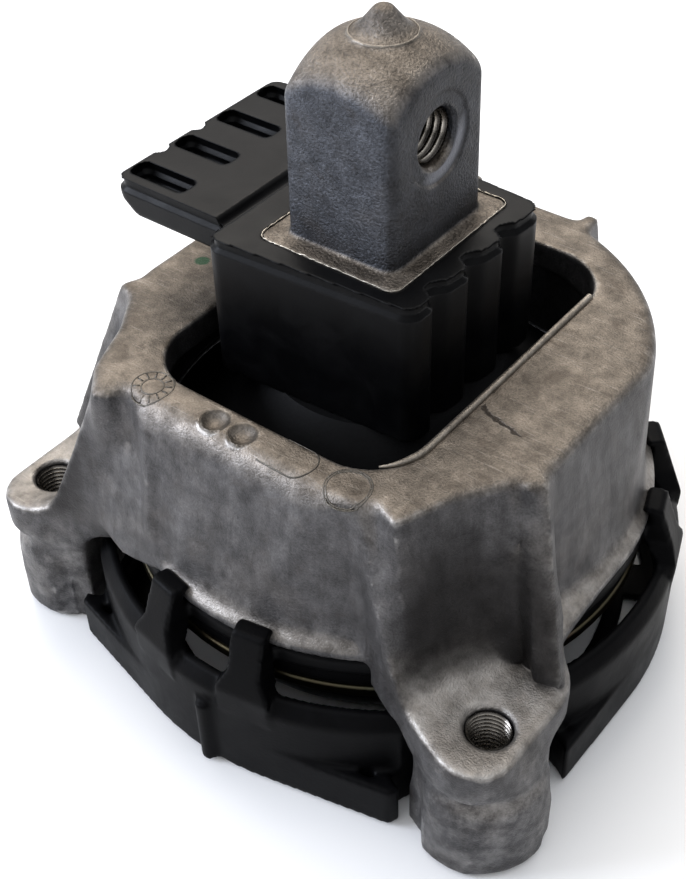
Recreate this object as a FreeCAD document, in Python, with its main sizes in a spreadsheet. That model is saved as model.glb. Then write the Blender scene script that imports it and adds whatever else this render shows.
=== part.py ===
import FreeCAD, Part
import math
import os
import Sketcher
from FreeCAD import Placement, Rotation, Vector

# Hydraulic engine mount, in millimetres.
# Frame: Z up along the axis of the fluid unit, Z = 0 on the bottom faces of the three feet.
# X is the axis of the cross hole in the post; two feet stand at -Y and the third at +Y.

os.makedirs("parts", exist_ok=True)
doc = FreeCAD.newDocument("engine_mount")
sheet = doc.addObject("Spreadsheet::Sheet", "Sizes")


class Size:
    """A number together with the sheet expression that gives it."""

    def __init__(self, value, text):
        self.value = value
        self.text = text

    def __add__(self, other):
        other = size(other)
        return Size(self.value + other.value, "(%s + %s)" % (self.text, other.text))

    def __sub__(self, other):
        other = size(other)
        return Size(self.value - other.value, "(%s - %s)" % (self.text, other.text))

    def __mul__(self, other):
        other = size(other)
        return Size(self.value * other.value, "(%s * %s)" % (self.text, other.text))

    def __truediv__(self, other):
        other = size(other)
        return Size(self.value / other.value, "(%s / %s)" % (self.text, other.text))

    def __neg__(self):
        return Size(-self.value, "(0 - %s)" % self.text)

    def __radd__(self, other):
        return size(other) + self

    def __rmul__(self, other):
        return size(other) * self

    def __rsub__(self, other):
        return size(other) - self


def size(number):
    """A plain number as a Size; a Size as it is."""
    if isinstance(number, Size):
        return number
    return Size(float(number), "(%.6f)" % number if number < 0 else "%.6f" % number)


def cosine(angle):
    return Size(math.cos(math.radians(angle.value)), "cos(%s)" % angle.text)


def sine(angle):
    return Size(math.sin(math.radians(angle.value)), "sin(%s)" % angle.text)


def tangent(angle):
    return Size(math.tan(math.radians(angle.value)), "tan(%s)" % angle.text)


row_number = 0


def cell(alias, number):
    """Keep one driving dimension in the sheet and give it back as a Size."""
    global row_number
    row_number += 1
    sheet.set("A%d" % row_number, alias)
    sheet.set("B%d" % row_number, str(number))
    sheet.setAlias("B%d" % row_number, alias)
    return Size(float(number), "Sizes." + alias)


def bind(thing, **sizes):
    """Bind properties to their sheet expressions; a dot is written as two underscores."""
    for name, value in sizes.items():
        thing.setExpression(name.replace("__", "."), size(value).text)


# Feet and the bolts that hold the mount from below
foot_height = cell("foot_height", 36)
foot_span = cell("foot_span", 125)
foot_front = cell("foot_front", 50)
foot_rear = cell("foot_rear", 80)
foot_thread_bore = cell("foot_thread_bore", 4.35)
foot_mouth = cell("foot_mouth", 5.4)
foot_turn = cell("foot_turn", 22)
foot_heel = cell("foot_heel", 11)
foot_side_near = cell("foot_side_near", 13.5)
foot_side_far = cell("foot_side_far", 21.2)
foot_tip = cell("foot_tip", 8.8)
foot_tip_round = cell("foot_tip_round", 9)
foot_heel_round = cell("foot_heel_round", 6.5)
rear_half_width = cell("rear_half_width", 18.5)
rear_tip = cell("rear_tip", 12)
boss_step = cell("boss_step", 1.4)
boss_height = cell("boss_height", 26)
boss_round = cell("boss_round", 13)
arch_round = cell("arch_round", 7)
arch_top = cell("arch_top", 29.5)
rib_thickness = cell("rib_thickness", 3.8)
pocket_round = cell("pocket_round", 9.5)
pocket_lean = cell("pocket_lean", 5.5)

# Bell of the housing
plate_height = cell("plate_height", 81)
plate_thickness = cell("plate_thickness", 7)
plate_radius = cell("plate_radius", 59)
wall_radius = cell("wall_radius", 60.3)
flat_side = cell("flat_side", 55.6)
flat_front = cell("flat_front", 53.6)
flat_rear = cell("flat_rear", 57.8)
front_edge_round = cell("front_edge_round", 6)
side_edge_round = cell("side_edge_round", 1.6)
lip_radius = cell("lip_radius", 63.5)
lip_bottom = cell("lip_bottom", 38)
lip_thickness = cell("lip_thickness", 3)
web_reach = cell("web_reach", 75)
web_round = cell("web_round", 8)
web_fall = cell("web_fall", 7)
bore_radius = cell("bore_radius", 55.5)
seat_height = cell("seat_height", 12)
cavity_low_radius = cell("cavity_low_radius", 53)
cavity_top_radius = cell("cavity_top_radius", 49.6)
window_half_x = cell("window_half_x", 33)
window_half_y = cell("window_half_y", 44)
window_round = cell("window_round", 14)
bead_radius = cell("bead_radius", 0.7)

# Marks pressed into the plate
mark_line = cell("mark_line", 48.2)
disc_x = cell("disc_x", 26.7)
disc_radius = cell("disc_radius", 5)
disc_depth = cell("disc_depth", 0.4)
clock_x = cell("clock_x", 24.9)
dimple_radius = cell("dimple_radius", 3.2)
dimple_depth = cell("dimple_depth", 1.5)
dimple_gap = cell("dimple_gap", 0.9)
dimple_x = cell("dimple_x", 3.4)

# Core: post, ledge, block and cone in one casting
post_half_x = cell("post_half_x", 13.8)
post_half_y = cell("post_half_y", 16.2)
post_round = cell("post_round", 3)
post_draft = cell("post_draft", 0.6)
dome_radius = cell("dome_radius", 24.5)
dome_top = cell("dome_top", 148.4)
dome_edge_round = cell("dome_edge_round", 4.6)
nub_radius = cell("nub_radius", 7.1)
nub_step = cell("nub_step", 0.35)
nub_height = cell("nub_height", 5.3)
nub_tip_radius = cell("nub_tip_radius", 1.6)
ledge_height = cell("ledge_height", 106)
ledge_half_x = cell("ledge_half_x", 17.6)
ledge_half_y = cell("ledge_half_y", 20.5)
ledge_round = cell("ledge_round", 2.5)
cross_hole_height = cell("cross_hole_height", 129)
cross_bore = cell("cross_bore", 5.05)
cross_mouth = cell("cross_mouth", 6.6)
cross_spot = cell("cross_spot", 9.9)
cross_spot_depth = cell("cross_spot_depth", 0.5)
cross_depth = cell("cross_depth", 22)
cone_top_radius = cell("cone_top_radius", 17.4)
cone_foot_radius = cell("cone_foot_radius", 11.5)
cone_foot = cell("cone_foot", 51)

# Rubber stop cap and its flap
cap_bottom = cell("cap_bottom", 72)
cap_side = cell("cap_side", 24.4)
cap_end = cell("cap_end", 26.2)
cap_flap_side = cell("cap_flap_side", 27.2)
cap_round = cell("cap_round", 4)
cap_draft = cell("cap_draft", 1)
cap_lean = cell("cap_lean", 2.4)
flute_depth = cell("flute_depth", 3.2)
flute_pitch = cell("flute_pitch", 12.6)
flap_reach = cell("flap_reach", 59)
flap_near = cell("flap_near", 21)
flap_far = cell("flap_far", 34.6)
flap_thickness = cell("flap_thickness", 8)
flap_round = cell("flap_round", 3.5)
slot_pitch = cell("slot_pitch", 14.4)
slot_width = cell("slot_width", 5)
slot_depth = cell("slot_depth", 4.5)
slot_length = cell("slot_length", 15.4)
slot_outer = cell("slot_outer", 57.3)

# Rubber spring and its steel ring
spring_top_radius = cell("spring_top_radius", 27)
spring_shoulder_radius = cell("spring_shoulder_radius", 49)
spring_roof = cell("spring_roof", 47.5)
spring_roof_radius = cell("spring_roof_radius", 14)
spring_foot_radius = cell("spring_foot_radius", 47)
sheet_steel = cell("sheet_steel", 1.5)
seat_clearance = cell("seat_clearance", 0.1)

# Stack held by the clamp ring
clamp_radius = cell("clamp_radius", 60.2)
clamp_wall = cell("clamp_wall", 1.6)
clamp_bead = cell("clamp_bead", 62)
clamp_bead_height = cell("clamp_bead_height", 2.9)
clamp_bottom = cell("clamp_bottom", 25.4)
clamp_lip = cell("clamp_lip", 1.3)
clamp_notch_count = 24
clamp_notch_width = cell("clamp_notch_width", 3)
upper_rim = cell("upper_rim", 2.6)
lower_rim = cell("lower_rim", 2.2)
bellows_skin = cell("bellows_skin", 1.6)
pan_skin = cell("pan_skin", 1)
channel_radius = cell("channel_radius", 43)
channel_width = cell("channel_width", 6)
channel_depth = cell("channel_depth", 3)
membrane_radius = cell("membrane_radius", 24)
membrane_thickness = cell("membrane_thickness", 2.6)
membrane_play = cell("membrane_play", 0.25)
pan_radius = cell("pan_radius", 54)
pan_foot = cell("pan_foot", 5)
pan_round = cell("pan_round", 9)

# Black plastic ring with its clip tabs
guard_stand = cell("guard_stand", 7.5)
guard_wall = cell("guard_wall", 2.6)
guard_bottom = cell("guard_bottom", 0.8)
guard_top = cell("guard_top", 28)
guard_shoulder = cell("guard_shoulder", 3.4)
guard_lobe_angle = cell("guard_lobe_angle", 38)
guard_lobe_top = cell("guard_lobe_top", 12.5)
guard_floor = cell("guard_floor", 2.2)
guard_floor_radius = cell("guard_floor_radius", 56)
guard_hoop = cell("guard_hoop", 62.9)
guard_hoop_height = cell("guard_hoop_height", 4.4)
guard_hoop_skirt = cell("guard_hoop_skirt", 5)
guard_foot_gap = cell("guard_foot_gap", 1)
guard_heel_gap = cell("guard_heel_gap", 3.6)
tab_width = cell("tab_width", 8)
tab_foot_width = cell("tab_foot_width", 13)
tab_thickness = cell("tab_thickness", 3.4)
tab_spread = cell("tab_spread", 10.5)
tab_hook = cell("tab_hook", 1.6)
tab_gap = cell("tab_gap", 0.3)
peg_radius = cell("peg_radius", 1.9)

doc.recompute()

XZ = Rotation(Vector(1, 0, 0), 90)
YZ = Rotation(Vector(0, 0, 1), 90) * XZ


def rounded(corners):
    """Lines and arcs of a closed outline whose corners are (x, y) or (x, y, radius)."""
    count = len(corners)
    points = [Vector(size(c[0]).value, size(c[1]).value, 0) for c in corners]
    starts, ends, arcs = [], [], []
    for i, here in enumerate(points):
        to_last = (points[i - 1] - here).normalize()
        to_next = (points[(i + 1) % count] - here).normalize()
        if len(corners[i]) < 3:
            ends.append(here)
            starts.append(here)
            arcs.append(None)
            continue
        radius = size(corners[i][2]).value
        half = to_last.getAngle(to_next) / 2
        reach = radius / math.tan(half)
        middle = (to_last + to_next).normalize()
        centre = here + middle * (radius / math.sin(half))
        before, after = here + to_last * reach, here + to_next * reach
        ends.append(before)
        starts.append(after)
        left_turn = (-to_last).cross(to_next).z > 0
        arcs.append((centre, radius, before, after, left_turn))
    return points, starts, ends, arcs


def draw(sketch, corners):
    """Draw a closed outline in a sketch, with every corner and radius bound to the sheet."""
    count = len(corners)
    points, starts, ends, arcs = rounded(corners)
    lines = []
    for i in range(count):
        lines.append(sketch.addGeometry(Part.LineSegment(starts[i], ends[(i + 1) % count]), False))
    for i in range(count):
        line_in, line_out = lines[i - 1], lines[i]
        if arcs[i] is None:
            sketch.addConstraint(Sketcher.Constraint("Coincident", line_in, 2, line_out, 1))
            holder, spot = line_out, 1
        else:
            centre, radius, before, after, left_turn = arcs[i]
            first, last = (before, after) if left_turn else (after, before)
            angle = math.atan2(first.y - centre.y, first.x - centre.x)
            angle_end = math.atan2(last.y - centre.y, last.x - centre.x)
            circle = Part.Circle(centre, Vector(0, 0, 1), radius)
            arc = sketch.addGeometry(Part.ArcOfCircle(circle, angle, angle_end), False)
            head, tail = (1, 2) if left_turn else (2, 1)
            sketch.addConstraint(Sketcher.Constraint("Tangent", line_in, 2, arc, head))
            sketch.addConstraint(Sketcher.Constraint("Tangent", arc, tail, line_out, 1))
            mark = sketch.addConstraint(Sketcher.Constraint("Radius", arc, radius))
            sketch.setExpression("Constraints[%d]" % mark, size(corners[i][2]).text)
            holder, spot = sketch.addGeometry(Part.Point(points[i]), True), 1
            sketch.addConstraint(Sketcher.Constraint("PointOnObject", holder, spot, line_in))
            sketch.addConstraint(Sketcher.Constraint("PointOnObject", holder, spot, line_out))
        for kind, value in (("DistanceX", corners[i][0]), ("DistanceY", corners[i][1])):
            mark = sketch.addConstraint(
                Sketcher.Constraint(kind, -1, 1, holder, spot, size(value).value))
            sketch.setExpression("Constraints[%d]" % mark, size(value).text)


def outline(name, corners, turn=Rotation(), height=None):
    """A free sketch of a closed outline, turned and lifted to its place."""
    sketch = doc.addObject("Sketcher::SketchObject", name + "_outline")
    sketch.Placement = Placement(Vector(0, 0, 0), turn)
    draw(sketch, corners)
    if height is not None:
        bind(sketch, Placement__Base__z=height)
    return sketch


def prism(name, corners, bottom, height, draft=None):
    """A closed outline on a level plane, drawn up by a height."""
    solid = doc.addObject("Part::Extrusion", name)
    solid.Base = outline(name, corners, height=bottom)
    solid.DirMode = "Normal"
    solid.Solid = True
    bind(solid, LengthFwd=height)
    if draft is not None:
        bind(solid, TaperAngle=draft)
    return solid


def slab(name, corners, turn, forward, back=0):
    """A side profile in an upright plane, drawn forward and back along the plane's normal."""
    solid = doc.addObject("Part::Extrusion", name)
    solid.Base = outline(name, corners, turn)
    solid.DirMode = "Normal"
    solid.Solid = True
    bind(solid, LengthFwd=forward, LengthRev=back)
    return solid


def turned(name, corners):
    """A profile in the XZ plane, turned a full circle about Z."""
    solid = doc.addObject("Part::Revolution", name)
    solid.Source = outline(name, corners, XZ)
    solid.Axis = Vector(0, 0, 1)
    solid.Angle = 360
    solid.Solid = True
    return solid


def cylinder(name, radius, height, x=0, y=0, z=0, turn=Rotation()):
    solid = doc.addObject("Part::Cylinder", name)
    solid.Placement = Placement(Vector(0, 0, 0), turn)
    bind(solid, Radius=radius, Height=height,
         Placement__Base__x=x, Placement__Base__y=y, Placement__Base__z=z)
    return solid


def cone(name, radius, end_radius, height, x=0, y=0, z=0, turn=Rotation()):
    solid = doc.addObject("Part::Cone", name)
    solid.Placement = Placement(Vector(0, 0, 0), turn)
    bind(solid, Radius1=radius, Radius2=end_radius, Height=height,
         Placement__Base__x=x, Placement__Base__y=y, Placement__Base__z=z)
    return solid


def ball(name, radius, x, y, z):
    solid = doc.addObject("Part::Sphere", name)
    bind(solid, Radius=radius,
         Placement__Base__x=x, Placement__Base__y=y, Placement__Base__z=z)
    return solid


def fused(name, solids):
    result = doc.addObject("Part::MultiFuse", name)
    result.Shapes = solids
    return result


def shared(name, solids):
    result = doc.addObject("Part::MultiCommon", name)
    result.Shapes = solids
    return result


def cut(name, base, tools):
    result = doc.addObject("Part::Cut", name)
    result.Base = base
    result.Tool = tools[0] if len(tools) == 1 else fused(name + "_tools", tools)
    return result


def turned_body(label, corners, grooves=()):
    """A turned piece as a body: one revolution, then its grooves."""
    body = doc.addObject("PartDesign::Body", label)
    plane = [f for f in body.Origin.OriginFeatures if f.Role == "XZ_Plane"][0]
    for i, profile in enumerate([corners] + list(grooves)):
        sketch = body.newObject("Sketcher::SketchObject", "%s_profile_%d" % (label, i))
        sketch.AttachmentSupport = (plane, [""])
        sketch.MapMode = "FlatFace"
        draw(sketch, profile)
        kind = "PartDesign::Revolution" if i == 0 else "PartDesign::Groove"
        feature = body.newObject(kind, "%s_turn_%d" % (label, i))
        feature.Profile = sketch
        feature.ReferenceAxis = (sketch, ["V_Axis"])
        feature.Angle = 360
        sketch.Visibility = False
    body.Label = label
    return body


pieces = {}

# Housing


def spun(solid, angle):
    """Turn a finished solid about Z by a bound angle."""
    solid.Placement = Placement(Vector(0, 0, 0), Rotation(Vector(0, 0, 1), 10))
    bind(solid, Placement__Rotation__Angle=angle)
    return solid


def spun_copy(name, solid, angle):
    """A second copy of a solid, turned about Z."""
    copy = doc.addObject("Part::Compound", name)
    copy.Links = [solid]
    return spun(copy, angle)


# A front foot is drawn with u along its ribs and v across them, and then turned into place.
along_x, along_y = cosine(foot_turn), sine(foot_turn)
hole_u = foot_span / 2 * along_x + foot_front * along_y
hole_v = foot_span / 2 * along_y - foot_front * along_x
near_side = hole_v - foot_side_near
far_side = hole_v + foot_side_far
heel_u = hole_u - foot_heel
tip_x = foot_span / 2 + foot_tip
rear_end = foot_rear + rear_tip
rear_heel = foot_rear - foot_heel


def tip_at(v, gap):
    """Where the foot's end face crosses a line of constant v."""
    return (tip_x + gap - v * along_y) / along_x


def front_plan(gap, inner, round_tip, round_heel):
    """Plan of a front foot, grown on every side by a gap."""
    low, high = near_side - gap, far_side + gap
    return [
        (inner, low),
        (tip_at(low, gap), low, round_tip + gap),
        (tip_at(high, gap), high, round_heel + gap),
        (inner, high)]


def rear_plan(gap, inner, round_tip):
    """Plan of the rear foot, whose u runs along Y."""
    side = rear_half_width + gap
    return [
        (inner, -side),
        (rear_end + gap, -side, round_tip + gap),
        (rear_end + gap, side, round_tip + gap),
        (inner, side)]


def crest(start, steps, reach, top):
    """Side profile of the space above a rib."""
    profile = [(start[0], top), start]
    profile += steps
    profile += [(reach, steps[-1][1]), (reach, top)]
    return profile


def foot(name, plan, boss, hole, heel, low, high, back_wall, crests):
    """Boss, pad, two ribs rising to the plate and the hollow between them."""
    block = prism(name + "_block", plan, boss_height, plate_height - boss_height)
    lower = prism(name + "_boss", boss, size(0), boss_height)
    body = fused(name + "_body", [block, lower])
    top = plate_height + 8
    reach = hole + 40
    pocket = slab(name + "_pocket", [
        (back_wall, top),
        (back_wall, plate_height),
        (back_wall + pocket_lean, foot_height, pocket_round),
        (reach, foot_height),
        (reach, top)], XZ, -(low + rib_thickness), high - rib_thickness)
    near = slab(name + "_near_crest", crest(*crests[0], reach, top), XZ,
                -(low - 5), low + rib_thickness)
    far = slab(name + "_far_crest", crest(*crests[1], reach, top), XZ,
               -(high - rib_thickness), high + 5)
    arch = slab(name + "_arch", [
        (size(-5), size(-5)),
        (heel, size(-5)),
        (heel, arch_top, arch_round),
        (heel - 11, arch_top + 1.5, size(14)),
        (heel - 22, lip_bottom),
        (size(-5), lip_bottom)], XZ, -(low - 5), high + 5)
    clear = cylinder(name + "_clearance", lip_radius, lip_bottom + 5, z=size(-5))
    return cut(name, body, [pocket, near, far, arch, clear])


rim = foot_height + 0.6
slender = (
    (hole_u - 29.7, plate_height, size(3)),
    [(hole_u - 24.3, plate_height - 11.3, size(14)),
     (hole_u - 17.4, plate_height - 34, size(14)),
     (hole_u - 10.9, rim + 0.8, size(9)),
     (hole_u - 2, rim)])
broad = (
    (hole_u - 15.7, plate_height, size(1.2)),
    [(hole_u - 13.8, plate_height - 9.3, size(5)),
     (hole_u - 5.4, plate_height - 27, size(9)),
     (hole_u - 3.4, rim + 4.4, size(3)),
     (hole_u + 3, rim)])
stout = (
    (hole_u - 23.2, plate_height, size(1.2)),
    [(hole_u - 20.4, plate_height - 6.3, size(6)),
     (hole_u - 13.2, plate_height - 23.8, size(20)),
     (hole_u - 7, plate_height - 38, size(9)),
     (hole_u - 4.2, rim + 1.6, size(2.5)),
     (hole_u + 1, rim)])
front_right = foot(
    "foot_right", front_plan(size(0), size(38), foot_tip_round, foot_heel_round),
    front_plan(-boss_step, size(38), boss_round, boss_round),
    hole_u, heel_u, near_side, far_side, hole_u - 20.6, (slender, broad))
spun(front_right, -foot_turn)
front_other = foot(
    "foot_other", front_plan(size(0), size(38), foot_tip_round, foot_heel_round),
    front_plan(-boss_step, size(38), boss_round, boss_round),
    hole_u, heel_u, near_side, far_side, hole_u - 20.6, (stout, slender))
spun(front_other, -foot_turn)
front_left = doc.addObject("Part::Mirroring", "foot_left")
front_left.Source = front_other
front_left.Normal = Vector(1, 0, 0)

horn = (
    (foot_rear - 18.3, plate_height, size(1.2)),
    [(foot_rear - 16, plate_height - 9.3, size(5)),
     (foot_rear - 7, plate_height - 27, size(9)),
     (foot_rear - 4, rim + 4.4, size(3)),
     (foot_rear + 3, rim)])
rear = foot(
    "foot_back", rear_plan(size(0), size(38), foot_tip_round),
    rear_plan(-boss_step, size(38), boss_round),
    foot_rear, rear_heel, -rear_half_width, rear_half_width, flat_rear, (horn, horn))
spun(rear, size(90))

lip_top = lip_bottom + lip_thickness


def lip_web(name):
    """The lip swept out and down into the far side of a front foot."""
    start_u, start_v = lip_radius * along_x, lip_radius * along_y
    corner_u = start_u + (start_v - far_side) * along_y / along_x
    plan = prism(name + "_plan", [
        (start_u - 8, far_side - 6),
        (web_reach, far_side - 6),
        (web_reach, far_side),
        (corner_u, far_side, web_round),
        (start_u, start_v),
        (start_u - 8, start_v)], lip_bottom - web_fall - 4, lip_thickness + web_fall + 8)
    side = slab(name + "_side", [
        (start_u - 10, lip_bottom),
        (start_u + 3, lip_bottom, size(12)),
        (web_reach + 2, lip_bottom - web_fall),
        (web_reach + 2, lip_top - web_fall),
        (start_u + 5, lip_top, size(12)),
        (start_u - 10, lip_top)], XZ, -(far_side - 8), start_v + 4)
    clear = cylinder(name + "_clearance", lip_radius, lip_bottom)
    return spun(cut(name, shared(name + "_blank", [plan, side]), [clear]), -foot_turn)


web_right = lip_web("lip_web")
web_left = doc.addObject("Part::Mirroring", "lip_web_left")
web_left.Source = web_right
web_left.Normal = Vector(1, 0, 0)
shell = turned("bell_shell", [
    (size(0), lip_bottom),
    (lip_radius, lip_bottom),
    (lip_radius, lip_top, size(0.5)),
    (wall_radius, lip_top, size(1.2)),
    (plate_radius, plate_height, size(2.4)),
    (size(0), plate_height)])
far_out = plate_radius * 2


def flat(name, reach, edge, turn):
    """Wedge that planes one side of the bell, with a rounded edge at the plate."""
    sign = 1 if reach.value > 0 else -1
    return slab(name, [
        (wall_radius * sign, lip_top + 2),
        (reach, plate_height, edge),
        (reach - sign * 14, plate_height),
        (reach - sign * 14, plate_height + 14),
        (far_out * sign, plate_height + 14),
        (far_out * sign, lip_top + 2)], turn, far_out, far_out)


flats = [
    flat("flat_at_front", -flat_front, front_edge_round, YZ),
    flat("flat_at_rear", flat_rear, side_edge_round, YZ),
    flat("flat_at_right", flat_side, side_edge_round, XZ),
    flat("flat_at_left", -flat_side, side_edge_round, XZ)]
bell = cut("bell", shell, flats)
casting = fused("casting", [bell, front_right, front_left, rear, web_right, web_left])

cavity = turned("cavity", [
    (size(0), size(20)),
    (bore_radius, size(20)),
    (bore_radius, lip_bottom + seat_height),
    (cavity_low_radius, lip_bottom + seat_height),
    (cavity_top_radius, plate_height - plate_thickness, size(4)),
    (size(0), plate_height - plate_thickness)])
window = prism("window", [
    (-window_half_x, -window_half_y, window_round),
    (window_half_x, -window_half_y, window_round),
    (window_half_x, window_half_y, window_round),
    (-window_half_x, window_half_y, window_round)], plate_height - 20, size(40))

tools = [cavity, window]
places = (
    ("right", foot_span / 2, -foot_front),
    ("left", -foot_span / 2, -foot_front),
    ("back", size(0), foot_rear))
chamfer = foot_mouth - foot_thread_bore
for name, x, y in places:
    tools.append(cylinder("bolt_hole_" + name, foot_thread_bore, foot_height + 2, x, y, size(-1)))
    tools.append(cone("bolt_mouth_" + name, foot_thread_bore, foot_mouth + 1, chamfer + 1,
                      x, y, foot_height - chamfer))
    tools.append(cone("bolt_start_" + name, foot_mouth + 1, foot_thread_bore, chamfer + 1,
                      x, y, size(-1)))

marks = []
marks.append(cylinder("disc_mark", disc_radius, size(3), disc_x, -mark_line,
                      plate_height - disc_depth))
marks.append(cylinder("clock_mark", disc_radius, size(3), -clock_x, -mark_line,
                      plate_height - disc_depth / 2))
dimple_ball = (dimple_radius * dimple_radius / dimple_depth + dimple_depth) / 2
for i, side in enumerate((-1, 1)):
    middle = side * (dimple_radius + dimple_gap / 2) - dimple_x
    marks.append(ball("dimple_%d" % i, dimple_ball, middle, -mark_line - 0.6,
                      plate_height + dimple_ball - dimple_depth))
pieces["housing"] = cut("housing_casting", casting, tools + marks)

# Core

post_body = doc.addObject("PartDesign::Body", "post")
xy_plane = [f for f in post_body.Origin.OriginFeatures if f.Role == "XY_Plane"][0]
xz_plane = [f for f in post_body.Origin.OriginFeatures if f.Role == "XZ_Plane"][0]
section = post_body.newObject("Sketcher::SketchObject", "post_section")
section.AttachmentSupport = (xy_plane, [""])
section.MapMode = "FlatFace"
bind(section, AttachmentOffset__Base__z=ledge_height - 4)
draw(section, [
    (-post_half_x, -post_half_y, post_round),
    (post_half_x, -post_half_y, post_round),
    (post_half_x, post_half_y, post_round),
    (-post_half_x, post_half_y, post_round)])
pad = post_body.newObject("PartDesign::Pad", "post_pad")
pad.Profile = section
bind(pad, Length=dome_top - ledge_height + 14, TaperAngle=-post_draft)
dome_centre = dome_top - dome_radius
dome = post_body.newObject("Sketcher::SketchObject", "dome_profile")
dome.AttachmentSupport = (xz_plane, [""])
dome.MapMode = "FlatFace"
rim_x = dome_radius * 0.98
rim_z = dome_centre + dome_radius * 0.19899748742
arc_centre = Vector(0, dome_centre.value, 0)
arc_start = math.atan2(0.19899748742, 0.98)
dome_arc = dome.addGeometry(Part.ArcOfCircle(
    Part.Circle(arc_centre, Vector(0, 0, 1), dome_radius.value), arc_start, math.pi / 2), False)
dome_far = dome_radius * 2
roof = dome_top + 20
corner = [
    Vector(rim_x.value, rim_z.value, 0),
    Vector(dome_far.value, rim_z.value, 0),
    Vector(dome_far.value, roof.value, 0),
    Vector(0, roof.value, 0),
    Vector(0, dome_top.value, 0)]
dome_lines = [dome.addGeometry(Part.LineSegment(corner[i], corner[i + 1]), False) for i in range(4)]
dome.addConstraint(Sketcher.Constraint("Coincident", dome_arc, 1, dome_lines[0], 1))
for i in range(3):
    dome.addConstraint(Sketcher.Constraint("Coincident", dome_lines[i], 2, dome_lines[i + 1], 1))
dome.addConstraint(Sketcher.Constraint("Coincident", dome_lines[3], 2, dome_arc, 2))
dome.addConstraint(Sketcher.Constraint("PointOnObject", dome_arc, 3, -2))
dome.addConstraint(Sketcher.Constraint("PointOnObject", dome_arc, 2, -2))
dome.addConstraint(Sketcher.Constraint("Horizontal", dome_lines[0]))
dome.addConstraint(Sketcher.Constraint("Vertical", dome_lines[1]))
dome.addConstraint(Sketcher.Constraint("Horizontal", dome_lines[2]))
dome.addConstraint(Sketcher.Constraint("Vertical", dome_lines[3]))
mark = dome.addConstraint(
    Sketcher.Constraint("DistanceY", -1, 1, dome_arc, 3, dome_centre.value))
dome.setExpression("Constraints[%d]" % mark, dome_centre.text)
mark = dome.addConstraint(
    Sketcher.Constraint("DistanceX", -1, 1, dome_lines[0], 1, rim_x.value))
dome.setExpression("Constraints[%d]" % mark, rim_x.text)
mark = dome.addConstraint(
    Sketcher.Constraint("DistanceX", -1, 1, dome_lines[0], 2, dome_far.value))
dome.setExpression("Constraints[%d]" % mark, dome_far.text)
mark = dome.addConstraint(
    Sketcher.Constraint("DistanceY", -1, 1, dome_lines[2], 1, roof.value))
dome.setExpression("Constraints[%d]" % mark, roof.text)
mark = dome.addConstraint(Sketcher.Constraint("Radius", dome_arc, dome_radius.value))
dome.setExpression("Constraints[%d]" % mark, dome_radius.text)
groove = post_body.newObject("PartDesign::Groove", "dome_groove")
groove.Profile = dome
groove.ReferenceAxis = (dome, ["V_Axis"])
groove.Angle = 360
doc.recompute()
rounds = []
for i, edge in enumerate(groove.Shape.Edges):
    middle = edge.valueAt((edge.FirstParameter + edge.LastParameter) / 2)
    from_centre = (middle - Vector(0, 0, dome_centre.value)).Length
    if abs(from_centre - dome_radius.value) < 0.02 and middle.z > rim_z.value + 1:
        if math.hypot(middle.x, middle.y) > post_half_x.value * 0.8:
            rounds.append("Edge%d" % (i + 1))
dome_edge = post_body.newObject("PartDesign::Fillet", "dome_edge")
dome_edge.Base = (groove, rounds)
bind(dome_edge, Radius=dome_edge_round)
post_body.Tip = dome_edge
section.Visibility = False
dome.Visibility = False

ledge = prism("ledge", [
    (-ledge_half_x, -ledge_half_y, ledge_round),
    (ledge_half_x, -ledge_half_y, ledge_round),
    (ledge_half_x, ledge_half_y, ledge_round),
    (-ledge_half_x, ledge_half_y, ledge_round)], cap_bottom, ledge_height - cap_bottom)
root = cone("core_cone", cone_foot_radius, cone_top_radius, cap_bottom - cone_foot, z=cone_foot)
base_z = dome_top - nub_radius * nub_radius / dome_radius / 2 + nub_step
nub = turned("gate_nub", [
    (size(0), base_z - 4),
    (nub_radius, base_z - 4),
    (nub_radius, base_z),
    (nub_radius * 0.76, base_z + nub_height * 0.14, size(5)),
    (nub_tip_radius, base_z + nub_height, size(1.6)),
    (size(0), base_z + nub_height)])
blank = fused("core_blank", [post_body, ledge, root, nub])
ALONG_X = Rotation(Vector(0, 1, 0), -90)
face_x = post_half_x - (cross_hole_height - ledge_height + 4) * tangent(post_draft)
seat_x = face_x - cross_spot_depth
tap = cylinder("cross_tap", cross_bore, cross_depth, seat_x, size(0), cross_hole_height, ALONG_X)
tap_end = cone("cross_tap_end", cross_bore, size(0.4), cross_bore * 0.6,
               seat_x - cross_depth, size(0), cross_hole_height, ALONG_X)
tap_mouth = cone("cross_tap_mouth", cross_mouth, cross_bore, cross_mouth - cross_bore,
                 seat_x, size(0), cross_hole_height, ALONG_X)
spot = cylinder("cross_spot_face", cross_spot, size(6), seat_x + 6, size(0), cross_hole_height,
                ALONG_X)
pieces["core"] = cut("core_casting", blank, [tap, tap_end, tap_mouth, spot])

# Stop cap

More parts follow.
